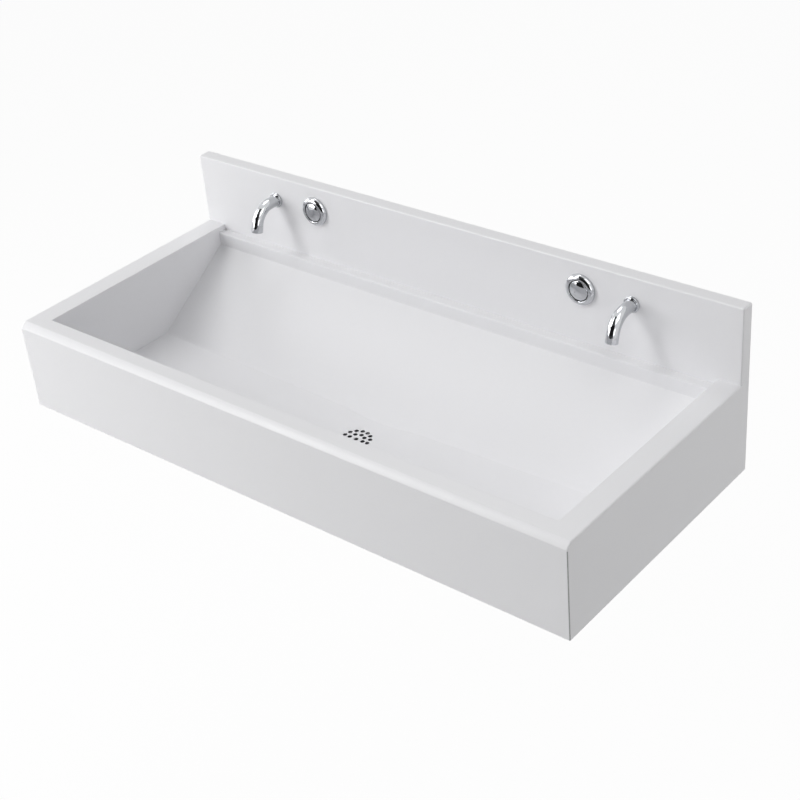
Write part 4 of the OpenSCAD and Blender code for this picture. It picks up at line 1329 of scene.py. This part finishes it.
body_back, body_front = (BACK_R_MM, BODY_BACK_MM), (BODY_R_MM, BODY_FRONT_MM)
body_thread = thread_rings(BODY_R_MM, BODY_THREAD_LOW_MM, BODY_THREAD_HIGH_MM, VALVE_PITCH / MM)
valve = turned(
    "valve_body_turning",
    (
        (0, BODY_BACK_MM),
        body_back,
        (BACK_R_MM, SHOULDER_MM - 0.6),
        (BACK_R_MM + 0.6, SHOULDER_MM),
        (BODY_R_MM - 0.8, SHOULDER_MM),
        *body_thread,
        body_front,
        (0, BODY_FRONT_MM),
    ),
    brass,
    close=False,
)
ease(0.8 * MM, rounds(body_back), 3)
ease(0.5 * MM, rounds(body_front), 2)
thread_from, thread_to = (BODY_THREAD_LOW_MM + 0.1) * MM, (BODY_THREAD_HIGH_MM - 0.1) * MM
cut_thread(valve, BODY_R_MM * MM, VALVE_PITCH, thread_from, thread_to)

boss = turned("boss", ((0, 0), (BOSS_R_MM, 0), (BOSS_R_MM, VALVE_BOSS), (0, VALVE_BOSS)), close=False)
ease(BOSS_EASE_MM * MM, rounds((BOSS_R_MM, VALVE_BOSS)), 2)
carve(valve, placed(boss, ALONG_LINK), "UNION")
inlet_thread = thread_rings(
    SUPPLY_R / MM, INLET_THREAD_LOW_MM, INLET_THREAD_HIGH_MM, SUPPLY_PITCH / MM
)
inlet = turned(
    "inlet",
    (
        (0, INLET_END_MM),
        (INLET_R_MM + 0.125, INLET_END_MM),
        *inlet_thread,
        (INLET_R_MM, INLET_THREAD_HIGH_MM + 0.6),
        (INLET_R_MM, -5),
        (0, -5),
    ),
    close=False,
    steps=48,
)
thread_from, thread_to = (INLET_THREAD_LOW_MM - 0.1) * MM, (INLET_THREAD_HIGH_MM + 0.1) * MM
cut_thread(inlet, SUPPLY_R, SUPPLY_PITCH, thread_from, thread_to)
carve(valve, placed(inlet, BELOW), "UNION")

button_well = (
    (0, WELL_FLOOR_MM),
    (WELL_R_MM, WELL_FLOOR_MM),
    (WELL_R_MM, MOUTH_SHADE_MM),
    (WELL_R_MM, BODY_FRONT_MM - 0.5),
    (WELL_R_MM + 0.7, BODY_FRONT_MM + 1),
    (0, BODY_FRONT_MM + 1),
)
hollow(valve, button_well)
chamber_and_guide = (
    (0, BODY_BACK_MM - 1),
    (CHAMBER_R_MM, BODY_BACK_MM - 1),
    (CHAMBER_R_MM, CHAMBER_FRONT_MM),
    (GUIDE_R_MM, CHAMBER_FRONT_MM),
    (GUIDE_R_MM, WELL_FLOOR_MM + 1),
    (0, WELL_FLOOR_MM + 1),
)
hollow(valve, chamber_and_guide)
pipe_socket = (
    (0, 0),
    (WATERWAY_R_MM, 0),
    (WATERWAY_R_MM, VALVE_SHOULDER),
    (PIPE_SOCKET_R_MM, VALVE_SHOULDER),
    (PIPE_SOCKET_R_MM, VALVE_BOSS + 1),
    (0, VALVE_BOSS + 1),
)
hollow(valve, pipe_socket, ALONG_LINK)
inlet_bore = ((0, INLET_END_MM - 1), (INLET_BORE_R_MM, INLET_END_MM - 1), (INLET_BORE_R_MM, 0), (0, 0))
hollow(valve, inlet_bore, BELOW)

# The faces of the cup's mouth take the black rubber colour: painted shade for the gap round the button.
valve.data.materials.append(rubber)
pick("polygons", lambda centre, normal: centre.z > MOUTH_SHADE_MM * MM)
valve.active_material_index = 1
bpy.ops.object.material_slot_assign()
bpy.ops.object.mode_set(mode="OBJECT")
fit_in_stations(valve, button_x, "brass", "valve_body")

plug_edges = ((PLUG_R_MM, PLUG_BACK_MM), (PLUG_R_MM, BODY_BACK_MM))
cap = turned(
    "valve_end_plug",
    (
        (0, PLUG_BACK_MM),
        *plug_edges,
        (PLUG_SPIGOT_R_MM, BODY_BACK_MM),
        (PLUG_SPIGOT_R_MM, PLUG_FRONT_MM),
        (0, PLUG_FRONT_MM),
    ),
    brass,
    close=False,
)
ease(0.8 * MM, rounds(*plug_edges), 3)
bpy.ops.object.select_all(action="DESELECT")
bpy.ops.mesh.primitive_cylinder_add(
    vertices=6, radius=RECESS_R, depth=2 * RECESS_DEPTH, location=(0, 0, PLUG_BACK_MM * MM)
)
carve(cap, own_it("hexagon_recess"))
fit_in_stations(cap, button_x, "brass", "valve_end_cap")

# ---- Bezels and push buttons ----
# A domed, chromed ring hides the valve's hole, and the crowned button slides inside it. The button is
# a hollow cap on a stainless stem, which carries the valve's disc, and a coil spring returns it.
BEZEL_R, BEZEL_H, BEZEL_HOLE_R, BEZEL_LIP = 28.5, 9, 19.5, 1.2
BEZEL_FOOT = 2
BUTTON_R, BUTTON_RIM, BUTTON_CROWN, BUTTON_EASE = 18, 8.5, 2.5, 1.5
BUTTON_INNER_R, BUTTON_CEILING, BUTTON_FOOT = 16, 6, -3
STEM_R, STEM_TOP, STEM_EASE = 4, 4, 0.4
SOCKET_R, SOCKET_WALL_R, SOCKET_FOOT = 4.1, 6, -2
SEAL_R, SEAL_BACK, SEAL_FRONT = 7, -47, -43
SPRING_WIRE_R, SPRING_R, SPRING_TURNS = 0.8, 12, 5
SPRING_FROM, SPRING_TO = -10.9, 4.9
STEPS_A_TURN, WIRE_SIDES = 24, 12


def arc(centre, radii, start, end, steps):
    """Points on a quarter of an ellipse, or part of one, as a profile."""
    angles = [radians(start + (end - start) * i / steps) for i in range(steps + 1)]
    return [(centre[0] + radii[0] * cos(a), centre[1] + radii[1] * sin(a)) for a in angles]


crown = BEZEL_R - BEZEL_HOLE_R - BEZEL_LIP
bezel = turned(
    "button_bezel_ring",
    [(BODY_FIT_MM, 0), (BEZEL_R, 0)]
    + arc((BEZEL_HOLE_R + BEZEL_LIP, BEZEL_FOOT), (crown, BEZEL_H - BEZEL_FOOT), 0, 90, 20)
    + arc((BEZEL_HOLE_R + BEZEL_LIP, BEZEL_H - BEZEL_LIP), (BEZEL_LIP, BEZEL_LIP), 90, 180, 8)[1:]
    + [(BEZEL_HOLE_R, BODY_FRONT_MM + 0.3), (BODY_FIT_MM, BODY_FRONT_MM + 0.3)],
    chrome,
    steps=96,
)
ease(0.25 * MM, rounds((BEZEL_R, 0)), 2)
fit_in_stations(bezel, button_x, "chrome", "button_bezel", angle=50)

crown_r = ((BUTTON_R - BUTTON_EASE) ** 2 + BUTTON_CROWN**2) / (2 * BUTTON_CROWN)
crown_mid = BUTTON_RIM + BUTTON_CROWN - crown_r
face = [(BUTTON_R - BUTTON_EASE) * i / 12 for i in range(12, -1, -1)]
underside = [
    (0, STEM_TOP + 0.3),
    (SOCKET_R, STEM_TOP + 0.3),
    (SOCKET_R, SOCKET_FOOT),
    (SOCKET_WALL_R, SOCKET_FOOT),
    (SOCKET_WALL_R, BUTTON_CEILING),
    (BUTTON_INNER_R, BUTTON_CEILING),
    (BUTTON_INNER_R, BUTTON_FOOT),
]
button = turned(
    "push_button_cap",
    underside
    + [(BUTTON_R - 0.3, BUTTON_FOOT), (BUTTON_R, BUTTON_FOOT + 0.3)]
    + arc((BUTTON_R - BUTTON_EASE, BUTTON_RIM - BUTTON_EASE), (BUTTON_EASE,) * 2, 0, 90, 8)[:-1]
    + [(r, crown_mid + sqrt(crown_r**2 - r**2)) for r in face],
    chrome,
    close=False,
    steps=96,
)
fit_in_stations(button, button_x, "chrome", "push_button", body="button")

stem = turned(
    "valve_stem_rod",
    (
        (0, SEAL_BACK),
        (SEAL_R - STEM_EASE, SEAL_BACK),
        (SEAL_R, SEAL_BACK + STEM_EASE),
        (SEAL_R, SEAL_FRONT - STEM_EASE),
        (SEAL_R - STEM_EASE, SEAL_FRONT),
        (STEM_R, SEAL_FRONT),
        (STEM_R, STEM_TOP - STEM_EASE),
        (STEM_R - STEM_EASE, STEM_TOP),
        (0, STEM_TOP),
    ),
    stainless,
    close=False,
    steps=32,
)
fit_in_stations(stem, button_x, "stainless", "valve_stem", body="button")

# Spring steel, coiled and lightly oiled: dark grey with a soft shine.
spring_steel, tree, shader = new_material("coiled_spring_steel", metallic=1.0)
tint(tree, shader, speckle(tree, (2, 2, 2)), "#7E8084", "#96989C")
vary(tree, shader, "Roughness", speckle(tree, (1.5, 1.5, 1.5)), 0.25, 0.4)

bpy.ops.object.select_all(action="DESELECT")
bpy.ops.mesh.primitive_circle_add(
    vertices=WIRE_SIDES,
    radius=SPRING_WIRE_R * MM,
    location=(SPRING_R * MM, 0, SPRING_FROM * MM),
    rotation=(pi / 2, 0, 0),
)
spring = own_it("return_spring_coil", spring_steel)
bpy.ops.object.modifier_add(type="SCREW")
winding = spring.modifiers[-1]
winding.angle = 2 * pi
winding.screw_offset = (SPRING_TO - SPRING_FROM) / SPRING_TURNS * MM
winding.iterations = SPRING_TURNS
winding.steps = winding.render_steps = STEPS_A_TURN
bpy.ops.object.modifier_apply(modifier=winding.name)
bpy.ops.object.mode_set(mode="EDIT")
bpy.ops.mesh.select_mode(type="EDGE")
bpy.ops.mesh.select_all(action="DESELECT")
bpy.ops.mesh.select_non_manifold()
bpy.ops.mesh.fill_holes(sides=0)
bpy.ops.object.mode_set(mode="OBJECT")
fit_in_stations(spring, button_x, "spring_steel", "return_spring", angle=60)

# The spring is 17.4 mm long at rest, and the button's 6 mm stroke leaves 11.4 mm of it. Here each coil only
# gets a mesh of its own.
for word in ("left", "right"):
    coil = bpy.data.objects[word + "_return_spring_coil"]
    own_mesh(coil)

# ---- Stage and light ----
# A white studio: a pale floor far below the sink, a pale room round it and large softboxes. A black
# card in front with a grey one that leans over from its top, both out of the picture, put the dark
# streak down the chrome, as photographers do.
STAGE_Z = -0.9
STAGE_SIZE = 40
SHADOW_SHARE = 0.04
ROOM_FILL = 0.1
CARD_FOOT = Vector((0.45, -3.3, -0.8))
CARD_TOP = Vector((0.45, -3.3, 2.6))
LEAN_TOP = Vector((0.45, -1.4, 4.4))
CARD_WIDTH = 4.9
AIM = Vector((0, -0.25, 0))
SOFTBOXES = (  # name, place, width of its square, watts
    ("key", (-3.4, -3.9, 3.4), 1.5, 66),
    ("high_key", (-2.6, -2.6, 4.2), 1.5, 36),
    ("left_fill", (-2.8, -0.6, 0.6), 1.2, 18),
    ("low_front_fill", (-2.1, -2.35, 0.42), 1.2, 20),
    ("front_left_fill", (-1.8, -3.0, 0.8), 1.2, 5),
    ("low_right_fill", (2.7, -2.2, 0.5), 1.2, 8),
    ("top_softbox", (1.1, -0.7, 1.6), 1.2, 8),
    ("high_back_fill", (-1.0, 0.75, 2.65), 1.2, 19),
    ("low_back_fill", (2.1, 1.85, 0.42), 1.2, 15),
)


def shown_rays(tree):
    """One for the rays that the camera sees directly, or in metal or glass, and nought for the rest."""
    rays = add_node(tree, "LightPath")
    either = add_node(
        tree,
        "Math",
        {0: rays.outputs["Is Camera Ray"], 1: rays.outputs["Is Glossy Ray"]},
        operation="MAXIMUM",
    )
    return add_node(
        tree, "Math", {0: either.outputs[0], 1: rays.outputs["Is Transmission Ray"]}, operation="MAXIMUM"
    ).outputs[0]


pale_floor, tree, shader = new_material("pale_floor_paint", base_color=hex_colour("#F2F2F2"), roughness=1.0)
weight = add_node(tree, "Math", {0: shown_rays(tree), 1: 1 - SHADOW_SHARE}, operation="MULTIPLY")
white = add_node(tree, "Emission", {"Strength": 1.0})
mix = add_node(
    tree, "MixShader", {0: weight.outputs[0], 1: shader.outputs["BSDF"], 2: white.outputs["Emission"]}
)
tree.links.new(mix.outputs["Shader"], tree.nodes["Material Output"].inputs["Surface"])
bpy.ops.object.select_all(action="DESELECT")
bpy.ops.mesh.primitive_plane_add(size=STAGE_SIZE, location=(0, 0, STAGE_Z))
own_it("floor", pale_floor)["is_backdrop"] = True


def hang_card(name, code, near_edge, far_edge, width):
    """A sheet of card between two level edges, which only shiny surfaces see."""
    paint, tree, shader = new_material(name + "_paint", base_color=hex_colour(code), roughness=1.0)
    across = far_edge - near_edge
    bpy.ops.object.select_all(action="DESELECT")
    bpy.ops.mesh.primitive_plane_add(
        size=1, location=(near_edge + far_edge) / 2, rotation=(atan2(across.z, across.y), 0, 0)
    )
    bpy.context.object.scale = (width, across.length, 1)
    card = own_it(name, paint)
    card.visible_camera = card.visible_diffuse = card.visible_shadow = False
    card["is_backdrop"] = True


hang_card("black_card", "#101010", CARD_FOOT, CARD_TOP, CARD_WIDTH)
hang_card("grey_card", "#6A6A6A", CARD_TOP, LEAN_TOP, CARD_WIDTH)

room = bpy.data.worlds.new("pale_room")
bpy.context.scene.world = room
room.use_nodes = True
background = room.node_tree.nodes["Background"]
strength = add_node(
    room.node_tree, "MapRange", {"Value": shown_rays(room.node_tree), "To Min": ROOM_FILL, "To Max": 1.0}
)
room.node_tree.links.new(strength.outputs["Result"], background.inputs["Strength"])
background.inputs["Color"].default_value = hex_colour("#FFFFFF")

for name, place, size, watts in SOFTBOXES:
    lamp = bpy.data.objects.new(name, bpy.data.lights.new(name, "AREA"))
    lamp.data.size = size
    lamp.data.energy = watts
    lamp.location = place
    lamp.rotation_mode = "QUATERNION"
    lamp.rotation_quaternion = (AIM - lamp.location).to_track_quat("-Z", "Y")
    bpy.context.scene.collection.objects.link(lamp)

bpy.context.scene.view_settings.view_transform = "Standard"

low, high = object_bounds()
